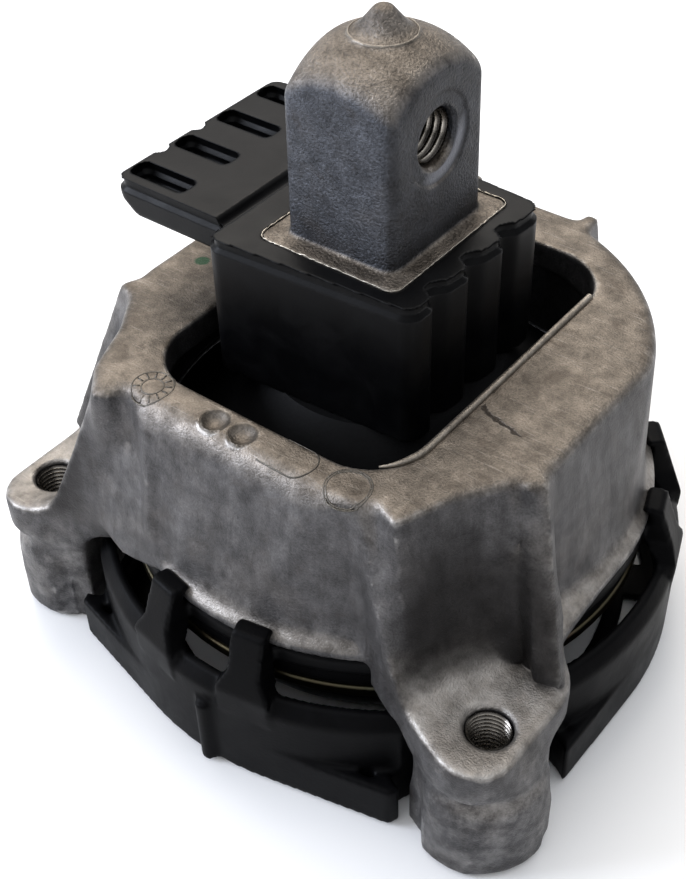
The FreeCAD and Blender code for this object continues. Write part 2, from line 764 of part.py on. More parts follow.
cap_height = ledge_height - cap_bottom
plan = [
    (-cap_flap_side, -cap_end - cap_lean / 2, cap_round),
    (cap_side, -cap_end + cap_lean, cap_round)]
for i in (-1, 0, 1):
    step_y = flute_pitch * i - 4.6
    plan += [
        (cap_side, step_y, size(1.5)),
        (cap_side - flute_depth, step_y + 2.2, size(0.8)),
        (cap_side - flute_depth, step_y + 4, size(1.2)),
        (cap_side - 0.8, step_y + 6.6, size(2.4))]
plan += [
    (cap_side, cap_end - cap_lean, cap_round),
    (-cap_flap_side, cap_end + cap_lean / 2, cap_round)]
cap_block = prism("cap_block", plan, cap_bottom, cap_height)
flap_side = slab("flap_side", [
    (size(-20), ledge_height - flap_thickness),
    (-flap_reach + 6, ledge_height - flap_thickness, size(3)),
    (-flap_reach, ledge_height - flap_thickness * 0.4, size(1)),
    (-flap_reach, ledge_height, size(0.8)),
    (size(-20), ledge_height)], XZ, flap_near + 20, flap_far + 20)
flap_plan = prism("flap_plan", [
    (size(-20), -flap_near),
    (-flap_reach, -flap_near, flap_round),
    (-flap_reach, size(-8)),
    (-flap_reach + 1.6, size(-6.6), size(0.8)),
    (-flap_reach + 1.6, size(-5), size(0.8)),
    (-flap_reach, size(-3.6)),
    (-flap_reach, size(4.4)),
    (-flap_reach + 1.6, size(5.6), size(0.8)),
    (-flap_reach + 1.6, size(7.2), size(0.8)),
    (-flap_reach, size(8.6)),
    (-flap_reach, flap_far, flap_round),
    (size(-20), flap_far)], ledge_height - flap_thickness - 5, flap_thickness + 10)
flap = shared("flap", [flap_side, flap_plan])
cap_blank = fused("cap_blank", [cap_block, flap])
cap_tools = [prism("cap_hollow", [
    (-ledge_half_x, -ledge_half_y, ledge_round),
    (ledge_half_x, -ledge_half_y, ledge_round),
    (ledge_half_x, ledge_half_y, ledge_round),
    (-ledge_half_x, ledge_half_y, ledge_round)], cap_bottom - 5, cap_height + 10)]
flap_middle = (flap_far - flap_near) / 2
for i in range(4):
    y = flap_middle + slot_pitch * (i - 1.5)
    half = slot_width / 2
    cap_tools.append(prism("flap_slot_%d" % i, [
        (-slot_outer, y - half, size(1.2)),
        (-slot_outer + slot_length, y - half, size(1.2)),
        (-slot_outer + slot_length, y + half, size(1.2)),
        (-slot_outer, y + half, size(1.2))], ledge_height - slot_depth, slot_depth + 5))
pieces["stop_cap"] = cut("stop_cap_moulding", cap_blank, cap_tools)

# Levels of the clamped stack, from the lip down

stack_radius = clamp_radius - clamp_wall - seat_clearance
ring_flange_top = lip_bottom - clamp_lip
upper_top = ring_flange_top - sheet_steel
split = upper_top - upper_rim
lower_bottom = split - lower_rim
bellows_bottom = lower_bottom - bellows_skin
pan_bottom = bellows_bottom - pan_skin
ring_top = lip_bottom + seat_height
ring_outer = bore_radius - seat_clearance
ring_inner = ring_outer - sheet_steel * 2
rubber_outer = ring_inner - seat_clearance
spring_bottom = lip_bottom

# Main spring and its ring

pieces["main_spring"] = turned_body("main_spring", [
    (size(0), spring_roof),
    (spring_roof_radius, spring_roof, size(4)),
    (spring_foot_radius, spring_bottom),
    (rubber_outer, spring_bottom),
    (rubber_outer, ring_top),
    (spring_shoulder_radius, ring_top + 1.5, size(3)),
    (spring_top_radius + 7, cap_bottom - 9, size(14)),
    (spring_top_radius, cap_bottom),
    (cone_top_radius + seat_clearance, cap_bottom),
    (cone_foot_radius + seat_clearance, cone_foot),
    (size(0), cone_foot)])
pieces["spring_ring"] = turned_body("spring_ring", [
    (ring_inner, upper_top),
    (stack_radius, upper_top),
    (stack_radius, ring_flange_top),
    (ring_outer, ring_flange_top, size(0.6)),
    (ring_outer, ring_top, size(0.8)),
    (ring_inner, ring_top, size(0.8))])

# Clamp ring

clamp_inner = clamp_radius - clamp_wall
clamp_blank = turned("clamp_blank", [
    (ring_outer + 0.8, lip_bottom),
    (clamp_radius, lip_bottom, size(1)),
    (clamp_radius, clamp_bottom + clamp_bead_height),
    (clamp_bead, clamp_bottom + clamp_bead_height, size(0.8)),
    (clamp_bead, clamp_bottom, size(0.8)),
    (clamp_radius - 5, clamp_bottom),
    (clamp_radius - 5, pan_bottom),
    (clamp_inner, pan_bottom),
    (clamp_inner, ring_flange_top),
    (ring_outer + 0.8, ring_flange_top)])
notches = []
for i in range(clamp_notch_count):
    turn = size(360.0 * i / clamp_notch_count)
    bar = doc.addObject("Part::Box", "notch_%d" % i)
    bind(bar, Length=size(4.4), Width=clamp_notch_width, Height=size(4),
         Placement__Base__x=(clamp_radius - 6.2) * cosine(turn) + clamp_notch_width / 2 * sine(turn),
         Placement__Base__y=(clamp_radius - 6.2) * sine(turn) - clamp_notch_width / 2 * cosine(turn),
         Placement__Base__z=clamp_bottom - 1)
    bar.Placement.Rotation = Rotation(Vector(0, 0, 1), turn.value)
    notches.append(bar)
pieces["clamp_ring"] = cut("clamp_ring_pressing", clamp_blank, notches)

# Channel plates and membrane

pocket_radius = membrane_radius + 0.4
upper_outer = ring_inner - 0.8
upper_blank = turned("upper_blank", [
    (size(0), split),
    (stack_radius, split),
    (stack_radius, upper_top),
    (upper_outer, upper_top),
    (upper_outer, spring_bottom),
    (upper_outer - 10, spring_bottom, size(0.8)),
    (upper_outer - 11, split + 4.2, size(1)),
    (size(0), split + 4.2)])
channel_inner = channel_radius - channel_width / 2
channel_outer = channel_radius + channel_width / 2


def ring_tool(name, inner, outer, low, high, degrees):
    """Ring segment of rectangular section."""
    tool = turned(name, [(inner, low), (outer, low), (outer, high), (inner, high)])
    tool.Angle = degrees
    return tool


upper_tools = [
    ring_tool("upper_channel", channel_inner, channel_outer, split - 1, split + channel_depth, 320),
    cylinder("upper_pocket", pocket_radius, membrane_thickness / 2 + membrane_play + 1,
             z=split - 1),
    cylinder("upper_port", channel_width / 2, size(20), channel_radius * 0.9986, channel_radius * 0.0523,
             split)]
for ring, count in ((9, 6), (18, 12)):
    for i in range(count):
        turn = size(360.0 * i / count)
        upper_tools.append(cylinder("upper_vent_%d_%d" % (ring, i), size(2.6), size(20),
                                    ring * cosine(turn), ring * sine(turn), split))
pieces["channel_upper"] = cut("channel_upper_plate", upper_blank, upper_tools)

lower_blank = turned("lower_blank", [
    (size(0), split - 5.5),
    (channel_outer + 2, split - 5.5, size(1)),
    (channel_outer + 2, lower_bottom),
    (stack_radius, lower_bottom),
    (stack_radius, split),
    (size(0), split)])
port_turn = size(312)
lower_tools = [
    ring_tool("lower_channel", channel_inner, channel_outer, split - channel_depth, split + 1, 320),
    cylinder("lower_pocket", pocket_radius, membrane_thickness / 2 + 1,
             z=split - membrane_thickness / 2),
    cylinder("lower_port", channel_width / 2, size(20), channel_radius * cosine(port_turn),
             channel_radius * sine(port_turn), split - 12),
    cylinder("lower_relief", pocket_radius, size(3), z=split - 7)]
for ring, count in ((9, 6), (18, 12)):
    for i in range(count):
        turn = size(360.0 * i / count)
        lower_tools.append(cylinder("lower_vent_%d_%d" % (ring, i), size(2.6), size(20),
                                    ring * cosine(turn), ring * sine(turn), split - 12))
pieces["channel_lower"] = cut("channel_lower_plate", lower_blank, lower_tools)

membrane_low = split - membrane_thickness / 2
pieces["membrane"] = turned_body("membrane", [
    (size(0), membrane_low),
    (membrane_radius, membrane_low, size(0.8)),
    (membrane_radius, membrane_low + membrane_thickness, size(0.8)),
    (size(0), membrane_low + membrane_thickness)])

# Bellows and pan

pan_inner = pan_radius - pan_skin
roll_radius = pan_inner - 1.6
roll_low = pan_foot + pan_skin + 7
pieces["bellows"] = turned_body("bellows", [
    (size(0), roll_low + 7),
    (size(22), roll_low + 7, size(5)),
    (size(34), roll_low, size(6)),
    (roll_radius - 3.5, roll_low, size(6)),
    (roll_radius, bellows_bottom, size(1.6)),
    (stack_radius, bellows_bottom),
    (stack_radius, lower_bottom),
    (roll_radius - bellows_skin, lower_bottom, size(3)),
    (roll_radius - 3.5 - bellows_skin, roll_low + bellows_skin, size(4.4)),
    (size(34) + bellows_skin / 2, roll_low + bellows_skin, size(4.4)),
    (size(22) + bellows_skin / 2, roll_low + 7 + bellows_skin, size(6.6)),
    (size(0), roll_low + 7 + bellows_skin)])
pieces["pan"] = turned_body("pan", [
    (size(3), pan_foot),
    (pan_radius - 2, pan_foot, pan_round),
    (pan_radius, pan_bottom, size(1)),
    (stack_radius, pan_bottom),
    (stack_radius, bellows_bottom),
    (pan_inner, bellows_bottom, size(2)),
    (pan_inner - 2, pan_foot + pan_skin, pan_round - pan_skin),
    (size(3), pan_foot + pan_skin)])

# Guard ring

guard_radius = lip_radius + guard_stand
guard_inner = guard_radius - guard_wall
wall = turned("guard_wall_ring", [
    (guard_inner, guard_bottom),
    (guard_radius, guard_bottom, size(0.6)),
    (guard_radius, guard_top - guard_shoulder, size(2.4)),
    (guard_radius - 2.4, guard_top, size(0.8)),
    (guard_radius - 4.4, guard_top),
    (guard_inner, guard_top - guard_shoulder - 0.6, size(2))])
wall_top = guard_top - guard_shoulder
lobe_height = guard_lobe_top - guard_bottom


def lobes(name, radius, bottom, height):
    """Three corners drawn tangentially out of a circle, one towards each foot."""
    solids = [cylinder(name + "_core", radius, height, z=bottom)]
    directions = (
        (name + "_right", foot_span / 2, -foot_front),
        (name + "_left", -foot_span / 2, -foot_front),
        (name + "_back", size(0), foot_rear))
    for label, x, y in directions:
        distance = Size(math.hypot(x.value, y.value),
                        "sqrt(%s * %s + %s * %s)" % (x.text, x.text, y.text, y.text))
        dx, dy = x / distance, y / distance
        c, s = cosine(guard_lobe_angle), sine(guard_lobe_angle)
        solids.append(prism(label, [
            (size(0), size(0)),
            (radius * (dx * c + dy * s), radius * (dy * c - dx * s)),
            (radius / c * dx, radius / c * dy),
            (radius * (dx * c - dy * s), radius * (dy * c + dx * s))], bottom, height))
    return fused(name, solids)


outer = lobes("guard_outside", guard_radius, guard_bottom, lobe_height)
inner = lobes("guard_inside", guard_inner, guard_bottom - 5, lobe_height + 10)
lobe_wall = cut("guard_lobe_wall", outer, [inner])

room = guard_foot_gap
wrap = guard_foot_gap + guard_wall


def foot_prisms(name, gap, bottom, height):
    """Outlines of the three feet, grown by a gap, as prisms."""
    behind = gap - guard_foot_gap + guard_heel_gap
    right = prism(name + "_right", front_plan(gap, heel_u - behind, foot_tip_round, foot_heel_round),
                  bottom, height)
    spun(right, -foot_turn)
    left = doc.addObject("Part::Mirroring", name + "_left")
    left.Source = right
    left.Normal = Vector(1, 0, 0)
    back = prism(name + "_back", rear_plan(gap, rear_heel - behind, foot_tip_round), bottom, height)
    spun(back, size(90))
    return [right, left, back]


wraps = fused("guard_wraps", foot_prisms("guard_wrap", wrap, guard_bottom, lobe_height))
outer_again = lobes("guard_limit", guard_radius, guard_bottom, lobe_height)
wrapped = shared("guard_wrap_walls", [wraps, outer_again])

tab_top = lip_top + tab_hook
tab_seat = lip_radius + seat_clearance
tab_inner = clamp_bead + tab_gap
tab_side = slab("tab_side", [
    (guard_inner, wall_top - 4),
    (guard_radius, wall_top - 4),
    (guard_radius + 0.4, guard_top, size(3)),
    (tab_seat + 2.6, tab_top, size(1)),
    (lip_radius - 2, tab_top, size(0.8)),
    (lip_radius - 1.6, lip_top),
    (tab_seat, lip_top),
    (tab_seat, lip_bottom - 0.2),
    (tab_inner, lip_bottom - 0.8),
    (tab_inner + 0.2, guard_top + 5, size(4)),
    (guard_inner, guard_top - 2, size(4))], XZ, tab_foot_width, tab_foot_width)
tab_front = slab("tab_front", [
    (-tab_foot_width / 2, wall_top - 6),
    (tab_foot_width / 2, wall_top - 6),
    (tab_foot_width / 2, guard_top + 0.5, size(1.5)),
    (tab_width / 2, guard_top + 5, size(3)),
    (tab_width / 2, tab_top + 2),
    (-tab_width / 2, tab_top + 2),
    (-tab_width / 2, guard_top + 5, size(3)),
    (-tab_foot_width / 2, guard_top + 0.5, size(1.5))], YZ, guard_radius + 10, -lip_radius + 10)
tab = shared("tab", [tab_side, tab_front])
hoop_inner = clamp_radius + seat_clearance * 2
hoop_top = lip_bottom - seat_clearance
hoop_step = hoop_top - guard_hoop_height
hoop_bottom = hoop_step - guard_hoop_skirt
hoop = turned("guard_hoop_ring", [
    (hoop_inner, hoop_bottom),
    (guard_hoop - 1.3, hoop_bottom, size(0.4)),
    (guard_hoop - 1.3, hoop_step),
    (guard_hoop, hoop_step, size(0.6)),
    (guard_hoop, hoop_top, size(0.6)),
    (hoop_inner, hoop_top)])
floor_ring = turned("guard_floor_ring", [
    (guard_floor_radius, guard_bottom),
    (guard_inner + 1, guard_bottom),
    (guard_inner + 1, guard_bottom + guard_floor),
    (guard_floor_radius, guard_bottom + guard_floor, size(0.6))])
ring_parts = [wall, lobe_wall, wrapped, hoop, floor_ring]
for i, middle in enumerate((-90, 30, 150)):
    for side in (-1, 1):
        ring_parts.append(spun_copy("tab_%d_%s" % (i, "b" if side > 0 else "a"), tab,
                                    size(middle) + side * tab_spread))
peg_turn = size(-88)
ring_parts.append(cylinder("guard_peg", peg_radius, size(20) - guard_bottom,
                           (guard_radius + 0.2) * cosine(peg_turn),
                           (guard_radius + 0.2) * sine(peg_turn), guard_bottom))
guard_blank = fused("guard_blank", ring_parts)
guard_blank.Refine = False
guard_cut = guard_blank
for i, tool in enumerate(foot_prisms("guard_room", room, size(-5), size(60))):
    guard_cut = cut("guard_cut_%d" % i, guard_cut, [tool])
    guard_cut.Refine = False
end_u = heel_u + 0.3
trim = prism("guard_end_trim", [
    (end_u, near_side - 12),
    (end_u + 40, near_side - 12),
    (end_u + 40, near_side + 4),
    (end_u, near_side + 4)], size(-5), size(30))
spun(trim, -foot_turn)
trim_left = doc.addObject("Part::Mirroring", "guard_end_trim_left")
trim_left.Source = trim
trim_left.Normal = Vector(1, 0, 0)
for tool in (trim, trim_left):
    guard_cut = cut(tool.Name + "_cut", guard_cut, [tool])
    guard_cut.Refine = False
slot_degrees = 11
for i, middle in enumerate((-90, 30, 150)):
    for side in (-1, 1):
        slot = turned("guard_slot_%d_%s" % (i, "b" if side > 0 else "a"), [
            (tab_inner - 2, size(-1)),
            (lip_radius + 1.4, size(-1)),
            (lip_radius + 1.4, size(6)),
            (tab_inner - 2, size(6))])
        slot.Angle = slot_degrees
        spun(slot, size(middle) + side * tab_spread - slot_degrees / 2)
        guard_cut = cut(slot.Name + "_cut", guard_cut, [slot])
        guard_cut.Refine = False
pieces["guard_ring"] = cut("guard_ring_moulding", guard_cut, [
    cylinder("guard_clearance", clamp_bead + 0.2, hoop_bottom - 20.1, z=size(20))])
pieces["guard_ring"].Refine = False

doc.recompute()

faults = []
for thing in doc.Objects:
    if "Invalid" in thing.State or "Error" in thing.State:
        faults.append("%s: %s" % (thing.Name, thing.State))
for name, piece in pieces.items():
    piece.Label = name
    shape = piece.Shape
    if shape.isNull() or not shape.isValid():
        faults.append("%s: shape is null or not valid" % name)
        continue
    shape.exportStep("parts/%s.step" % name)
    box = shape.BoundBox
    print("%-14s solids %d volume %.0f box %.1f %.1f %.1f to %.1f %.1f %.1f" % (
        name, len(shape.Solids), shape.Volume,
        box.XMin, box.YMin, box.ZMin, box.XMax, box.YMax, box.ZMax))
if faults:
    raise RuntimeError("; ".join(faults))
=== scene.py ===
"""Hydraulic engine mount: die-cast housing and core, moulded rubber, plated clamp ring, plastic guard."""

import math

import bmesh
import bpy
import numpy
from mathutils import Matrix, Vector, noise
from mathutils.bvhtree import BVHTree


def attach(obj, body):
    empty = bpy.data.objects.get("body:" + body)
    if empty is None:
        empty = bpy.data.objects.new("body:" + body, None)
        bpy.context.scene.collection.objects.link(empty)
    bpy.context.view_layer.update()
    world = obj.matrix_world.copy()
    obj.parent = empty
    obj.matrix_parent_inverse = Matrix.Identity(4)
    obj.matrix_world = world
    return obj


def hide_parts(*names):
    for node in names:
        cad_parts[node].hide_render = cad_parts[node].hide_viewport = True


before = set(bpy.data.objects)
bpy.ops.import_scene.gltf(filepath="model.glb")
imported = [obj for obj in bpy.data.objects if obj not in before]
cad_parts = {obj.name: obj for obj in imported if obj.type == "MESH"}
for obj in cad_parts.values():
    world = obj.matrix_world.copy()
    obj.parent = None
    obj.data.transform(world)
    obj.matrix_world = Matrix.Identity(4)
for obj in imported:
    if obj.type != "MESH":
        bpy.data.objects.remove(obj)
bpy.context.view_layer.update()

MM = 0.001

# Sizes that the pieces share, in millimetres, in the frame of the CAD model.
PLATE_Z = 81.0
LEDGE_Z = 106.0
LEDGE_HALF = (17.6, 20.5)
WINDOW_HALF = (33.0, 44.0)
WINDOW_ROUND = 14.0
FOOT_HOLES = {"right": (62.5, -50.0), "left": (-62.5, -50.0), "back": (0.0, 80.0)}
FOOT_TOP = 36.0
FOOT_MAJOR, FOOT_MINOR, FOOT_PITCH = 5.0, 4.35, 1.25
FOOT_THREAD_LENGTH, FOOT_THREAD_MIDDLE = 33.75, 17.9
POST_HOLE_Z = 129.0
POST_FACE_X = 13.0
POST_BORE_DEPTH = 21.5
POST_MAJOR, POST_MINOR, POST_PITCH = 6.0, 5.05, 1.75
POST_THREAD_LENGTH, POST_THREAD_START = 19.25, 1.5
BORE_MARGIN = 0.12
GATE_RADIUS, GATE_Z = 6.9, 147.0
RECESS_SEATS = ((59.5, -47.5, 0), (0, 76.5, 0))
DIMPLES = ((0.25, -48.8), (-7.05, -48.8))
DIMPLE_RADIUS, DIMPLE_DEPTH = 3.2, 1.5


# Materials

def linear(hex_colour):
    """Linear RGBA from an sRGB hex colour."""
    channels = [int(hex_colour[i:i + 2], 16) / 255 for i in (1, 3, 5)]
    return [c / 12.92 if c <= 0.04045 else ((c + 0.055) / 1.055) ** 2.4 for c in channels] + [1.0]


def add(tree, kind, inputs=None, **settings):
    """Add a node with its settings; an input is a value or another node's output socket."""
    made = tree.nodes.new(kind)
    for name, value in settings.items():
        setattr(made, name, value)
    for key, value in (inputs or {}).items():
        if isinstance(value, bpy.types.NodeSocket):
            tree.links.new(value, made.inputs[key])
        else:
            made.inputs[key].default_value = value
    return made


def start(name):
    """A new material with its shader, and the object coordinates in millimetres."""
    material = bpy.data.materials.new(name)
    material.use_nodes = True
    tree = material.node_tree
    shader = tree.nodes["Principled BSDF"]
    place = add(tree, "ShaderNodeTexCoord").outputs["Object"]
    mm = add(tree, "ShaderNodeVectorMath", {0: place, "Scale": 1 / MM}, operation="SCALE")
    return material, tree, shader, mm.outputs[0]


def grain(tree, mm, size_mm, detail=2.0, roughness=0.5, distortion=0.0):
    """Noise whose blobs are about size_mm across."""
    return add(tree, "ShaderNodeTexNoise", {
        "Vector": mm, "Scale": 1 / size_mm, "Detail": detail, "Roughness": roughness,
        "Distortion": distortion}).outputs["Fac"]


def ramp(tree, fac, low, high, start_value=0.0, end_value=1.0):
    """fac from low..high taken to start_value..end_value, clamped."""
    return add(tree, "ShaderNodeMapRange", {
        "Value": fac, "From Min": low, "From Max": high, "To Min": start_value,
        "To Max": end_value}).outputs["Result"]


def blend(tree, fac, first, second):
    """Mix two colours, given as sockets or hex strings."""
    first = linear(first) if isinstance(first, str) else first
    second = linear(second) if isinstance(second, str) else second
    return add(tree, "ShaderNodeMix", {"Factor": fac, 6: first, 7: second},
               data_type="RGBA").outputs[2]


def coat(tree, tint, mask, strength, colour):
    """Lay a colour over the tint where the mask is 1, at this strength."""
    return blend(tree, maths(tree, "MULTIPLY", mask, strength), tint, colour)


def maths(tree, operation, a, b=0.0):
    """One step of arithmetic on two sockets or numbers."""
    return add(tree, "ShaderNodeMath", {0: a, 1: b}, operation=operation).outputs[0]


def distance(tree, place, point):
    """How far, in millimetres, each place is from the point."""
    return add(tree, "ShaderNodeVectorMath", {0: place, 1: point}, operation="DISTANCE").outputs["Value"]


def bump(tree, height, depth_mm):
    """A normal that follows the height, for a grain too fine to be geometry."""
    inputs = {"Height": height, "Distance": depth_mm * MM, "Strength": 1.0}
    return add(tree, "ShaderNodeBump", inputs).outputs["Normal"]


def segment_mask(tree, mm, a, b, width, wobble=0.0):
    """1 near the straight line from a to b seen from above, falling to 0 at width."""
    a, b = Vector(a), Vector(b)
    along = (b - a).normalized()
    across = Vector((-along.y, along.x))
    xyz = add(tree, "ShaderNodeSeparateXYZ", {0: mm}).outputs
    jitter = maths(tree, "MULTIPLY", maths(tree, "SUBTRACT", grain(tree, mm, 2.2, 3), 0.5), wobble)
    du = maths(tree, "ADD", maths(tree, "MULTIPLY", xyz[0], along.x),
               maths(tree, "MULTIPLY", xyz[1], along.y))
    dv = maths(tree, "ADD", maths(tree, "MULTIPLY", xyz[0], across.x),
               maths(tree, "MULTIPLY", xyz[1], across.y))
    dv = maths(tree, "ADD", maths(tree, "SUBTRACT", dv, a.dot(across)), jitter)
    middle = (a + b) / 2
    half = (b - a).length / 2
    du = maths(tree, "ABSOLUTE", maths(tree, "SUBTRACT", du, middle.dot(along)))
    beside = ramp(tree, maths(tree, "ABSOLUTE", dv), width * 0.35, width, 1, 0)
    inside = ramp(tree, du, half * 0.75, half, 1, 0)
    above = ramp(tree, xyz[2], PLATE_Z - 3, PLATE_Z - 1)
    return maths(tree, "MULTIPLY", maths(tree, "MULTIPLY", beside, inside), above)


def streaks(tree, mm, turn, width_mm, length_mm):
    """Thin straight rub marks that run in one direction across the top faces."""
    turned = add(tree, "ShaderNodeMapping", {"Vector": mm, "Rotation": (0, 0, math.radians(turn)),
                                             "Scale": (1 / length_mm, 1 / width_mm, 0.2)}).outputs[0]
    return ramp(tree, add(tree, "ShaderNodeTexNoise", {
        "Vector": turned, "Scale": 1.0, "Detail": 3.0, "Roughness": 0.6}).outputs["Fac"], 0.61, 0.72)


def foot_pocket_shade(tree, mm, sideways):
    """1 on the walls that stand round the bolt heads: the mask of the painted shade in the pockets above
    the feet.
    """
    xyz = add(tree, "ShaderNodeSeparateXYZ", {0: mm}).outputs
    folded = add(tree, "ShaderNodeCombineXYZ", {0: maths(tree, "ABSOLUTE", xyz[0]), 1: xyz[1]}).outputs[0]
    masks = [ramp(tree, distance(tree, folded, seat), 15, 22, 1, 0) for seat in RECESS_SEATS]
    both = maths(tree, "MAXIMUM", *masks)
    band = maths(tree, "MULTIPLY", ramp(tree, xyz[2], 34, 40), ramp(tree, xyz[2], 60, 80, 1, 0.25))
    return maths(tree, "MULTIPLY", maths(tree, "MULTIPLY", both, band), sideways)


def cast_aluminium(name, cool, warm, bright, grain_mm, speck_low, marks=False, post=False):
    """Die-cast aluminium, blasted: dull grey with a sandy grain, warm stains, rubbed bright edges that are
    partly a painted highlight, and painted light: lighter tops, darker sides, a painted highlight on brows,
    painted shade in creases.
    """
    material, tree, shader, mm = start(name)
    geometry = add(tree, "ShaderNodeNewGeometry").outputs
    up = add(tree, "ShaderNodeSeparateXYZ", {0: geometry["Normal"]}).outputs[2]
    upward = ramp(tree, up, 0.25, 0.9)
    cloud = grain(tree, mm, 16, 5, 0.6, 0.4)
    patch = grain(tree, mm, 5, 6, 0.65)
    fine = grain(tree, mm, grain_mm, 3, 0.6)
    # Painted light: upward faces lighter and warmer, side faces darker and cooler, as if lit from above.
    tint = blend(tree, ramp(tree, maths(tree, "ADD", upward, maths(tree, "MULTIPLY", cloud, 0.5)),
                            0.25, 1.15), cool, warm)
    flow_place = add(tree, "ShaderNodeMapping", {"Vector": mm, "Scale": (0.28, 0.28, 0.055)}).outputs[0]
    flow = add(tree, "ShaderNodeTexNoise", {"Vector": flow_place, "Scale": 1.0, "Detail": 5.0,
                                            "Roughness": 0.6, "Distortion": 0.5}).outputs["Fac"]
    shade = maths(tree, "MULTIPLY", ramp(tree, patch, 0.3, 0.72, 0.62, 1.34),
                  ramp(tree, flow, 0.32, 0.68, *((0.92, 1.08) if post else (0.74, 1.26))))
    speck = ramp(tree, fine, 0.32, 0.68, speck_low, 2 - speck_low)
    tone = maths(tree, "MULTIPLY", shade, speck)
    tint = add(tree, "ShaderNodeVectorMath", {0: tint, "Scale": tone}, operation="SCALE").outputs[0]
    stain = maths(tree, "MULTIPLY", ramp(tree, grain(tree, mm, 7, 8, 0.7, 0.6), 0.52, 0.70),
                  maths(tree, "ADD", maths(tree, "MULTIPLY", upward, 0.6), 0.4))
    tint = coat(tree, tint, stain, 0.6, "#453d36")
    rub = maths(tree, "MAXIMUM", streaks(tree, mm, 24, 0.55, 9), streaks(tree, mm, -51, 0.45, 7))
    rub = maths(tree, "MULTIPLY", rub, upward)
    tint = coat(tree, tint, rub, 0.12, bright)
    # Convex edges lighter: rubbed bright by wear, and partly a painted highlight.
    worn = ramp(tree, maths(tree, "ADD", geometry["Pointiness"],
                            maths(tree, "MULTIPLY", maths(tree, "SUBTRACT", patch, 0.5), 0.10)),
                0.520, 0.585)
    # Painted highlight on sloping faces between the tops and the sides, broken up by the patch noise.
    brow = maths(tree, "MULTIPLY", ramp(tree, up, 0.12, 0.45), ramp(tree, up, 0.97, 0.80))
    brow = maths(tree, "MULTIPLY", brow, ramp(tree, patch, 0.36, 0.66))
    tint = coat(tree, tint, brow, 0.16, bright)
    # Painted shade: concave creases and inner corners darkened.
    crease_shade = ramp(tree, geometry["Pointiness"], 0.485, 0.43)
    tint = coat(tree, tint, crease_shade, 0.6, "#242322")
    tint = coat(tree, tint, worn, 0.65, bright)
    height = maths(tree, "ADD", maths(tree, "MULTIPLY", fine, 1.0), maths(tree, "MULTIPLY", patch, 0.8))
    if marks:
        sideways = ramp(tree, up, 0.5, 0.85, 1, 0)
        # Painted shade on the walls of the pockets round the foot bolts.
        tint = coat(tree, tint, foot_pocket_shade(tree, mm, sideways), 0.8, "#1d1b1a")
        height_mm = add(tree, "ShaderNodeSeparateXYZ", {0: mm}).outputs[2]
        # Pads round the bolt holes lighter: rubbed by washers, and painted light on these upward faces.
        washer_rub_and_light = maths(tree, "MULTIPLY", ramp(tree, height_mm, 33, 35), ramp(tree, height_mm, 38, 54, 1, 0))
        washer_rub_and_light = maths(tree, "MULTIPLY", washer_rub_and_light, ramp(tree, up, 0.35, 0.8))
        washer_rub_and_light = maths(tree, "MULTIPLY", washer_rub_and_light, ramp(tree, patch, 0.35, 0.65, 0.35, 1))
        tint = coat(tree, tint, washer_rub_and_light, 0.40, bright)
        handled = maths(tree, "MULTIPLY", ramp(tree, height_mm, 34, 26), ramp(tree, patch, 0.42, 0.68))
        tint = coat(tree, tint, handled, 0.15, bright)
        # Painted shade inside each dimple: a dark ring just within its rim.
        for x, y in DIMPLES:
            away = distance(tree, mm, (x, y, PLATE_Z))
            ring = maths(tree, "MULTIPLY", ramp(tree, away, 1.6, 2.9), ramp(tree, away, 3.2, 3.5, 1, 0))
            tint = coat(tree, tint, ring, 0.6, "#24221f")
        scar = maths(tree, "MAXIMUM", segment_mask(tree, mm, (33.8, -12.9), (39.0, -15.6), 0.6, 2.6),
                     segment_mask(tree, mm, (37.5, -15.2), (46.0, -16.6), 0.55, 2.8))
        tint = coat(tree, tint, scar, 0.85, "#2a2521")
        height = maths(tree, "SUBTRACT", height, maths(tree, "MULTIPLY", scar, 2.0))
        dab = distance(tree, mm, (-47.2, -8.2, PLATE_Z))
        dab = maths(tree, "ADD", dab, maths(tree, "MULTIPLY", patch, 1.4))
        dab = ramp(tree, dab, 2.2, 2.7, 1, 0)
        tint = coat(tree, tint, dab, 0.85, "#1f4a33")
    tree.links.new(tint, shader.inputs["Base Color"])
    shader.inputs["Metallic"].default_value = 0.9
    rubbed = maths(tree, "MAXIMUM", maths(tree, "MAXIMUM", worn, rub), brow)
    rough = maths(tree, "SUBTRACT", ramp(tree, fine, 0.3, 0.7, 0.40, 0.58),
                  maths(tree, "MULTIPLY", rubbed, 0.14))
    tree.links.new(rough, shader.inputs["Roughness"])
    if post:
        xyz = add(tree, "ShaderNodeSeparateXYZ", {0: mm}).outputs
        y, z = xyz[1], maths(tree, "SUBTRACT", xyz[2], POST_HOLE_Z)
        from_hole = maths(tree, "SQRT", maths(tree, "ADD", maths(tree, "MULTIPLY", y, y),
                                              maths(tree, "MULTIPLY", z, z)))
        # Painted shade on the post's +X face round the cross hole.
        facet = maths(tree, "MULTIPLY", ramp(tree, xyz[0], 12.0, 12.6), ramp(tree, up, 0.25, 0.45, 1, 0))
        lower_right = maths(tree, "SUBTRACT", maths(tree, "MULTIPLY", y, 0.55),
                            maths(tree, "MULTIPLY", z, 0.83))
        # Painted highlight: a crescent on the lower-right side of the hole's mouth.
        lit_crescent = maths(tree, "MULTIPLY", ramp(tree, from_hole, 6.6, 7.0),
                         ramp(tree, from_hole, 8.4, 9.8, 1, 0))
        lit_crescent = maths(tree, "MULTIPLY", lit_crescent, ramp(tree, lower_right, 2.5, 6.0))
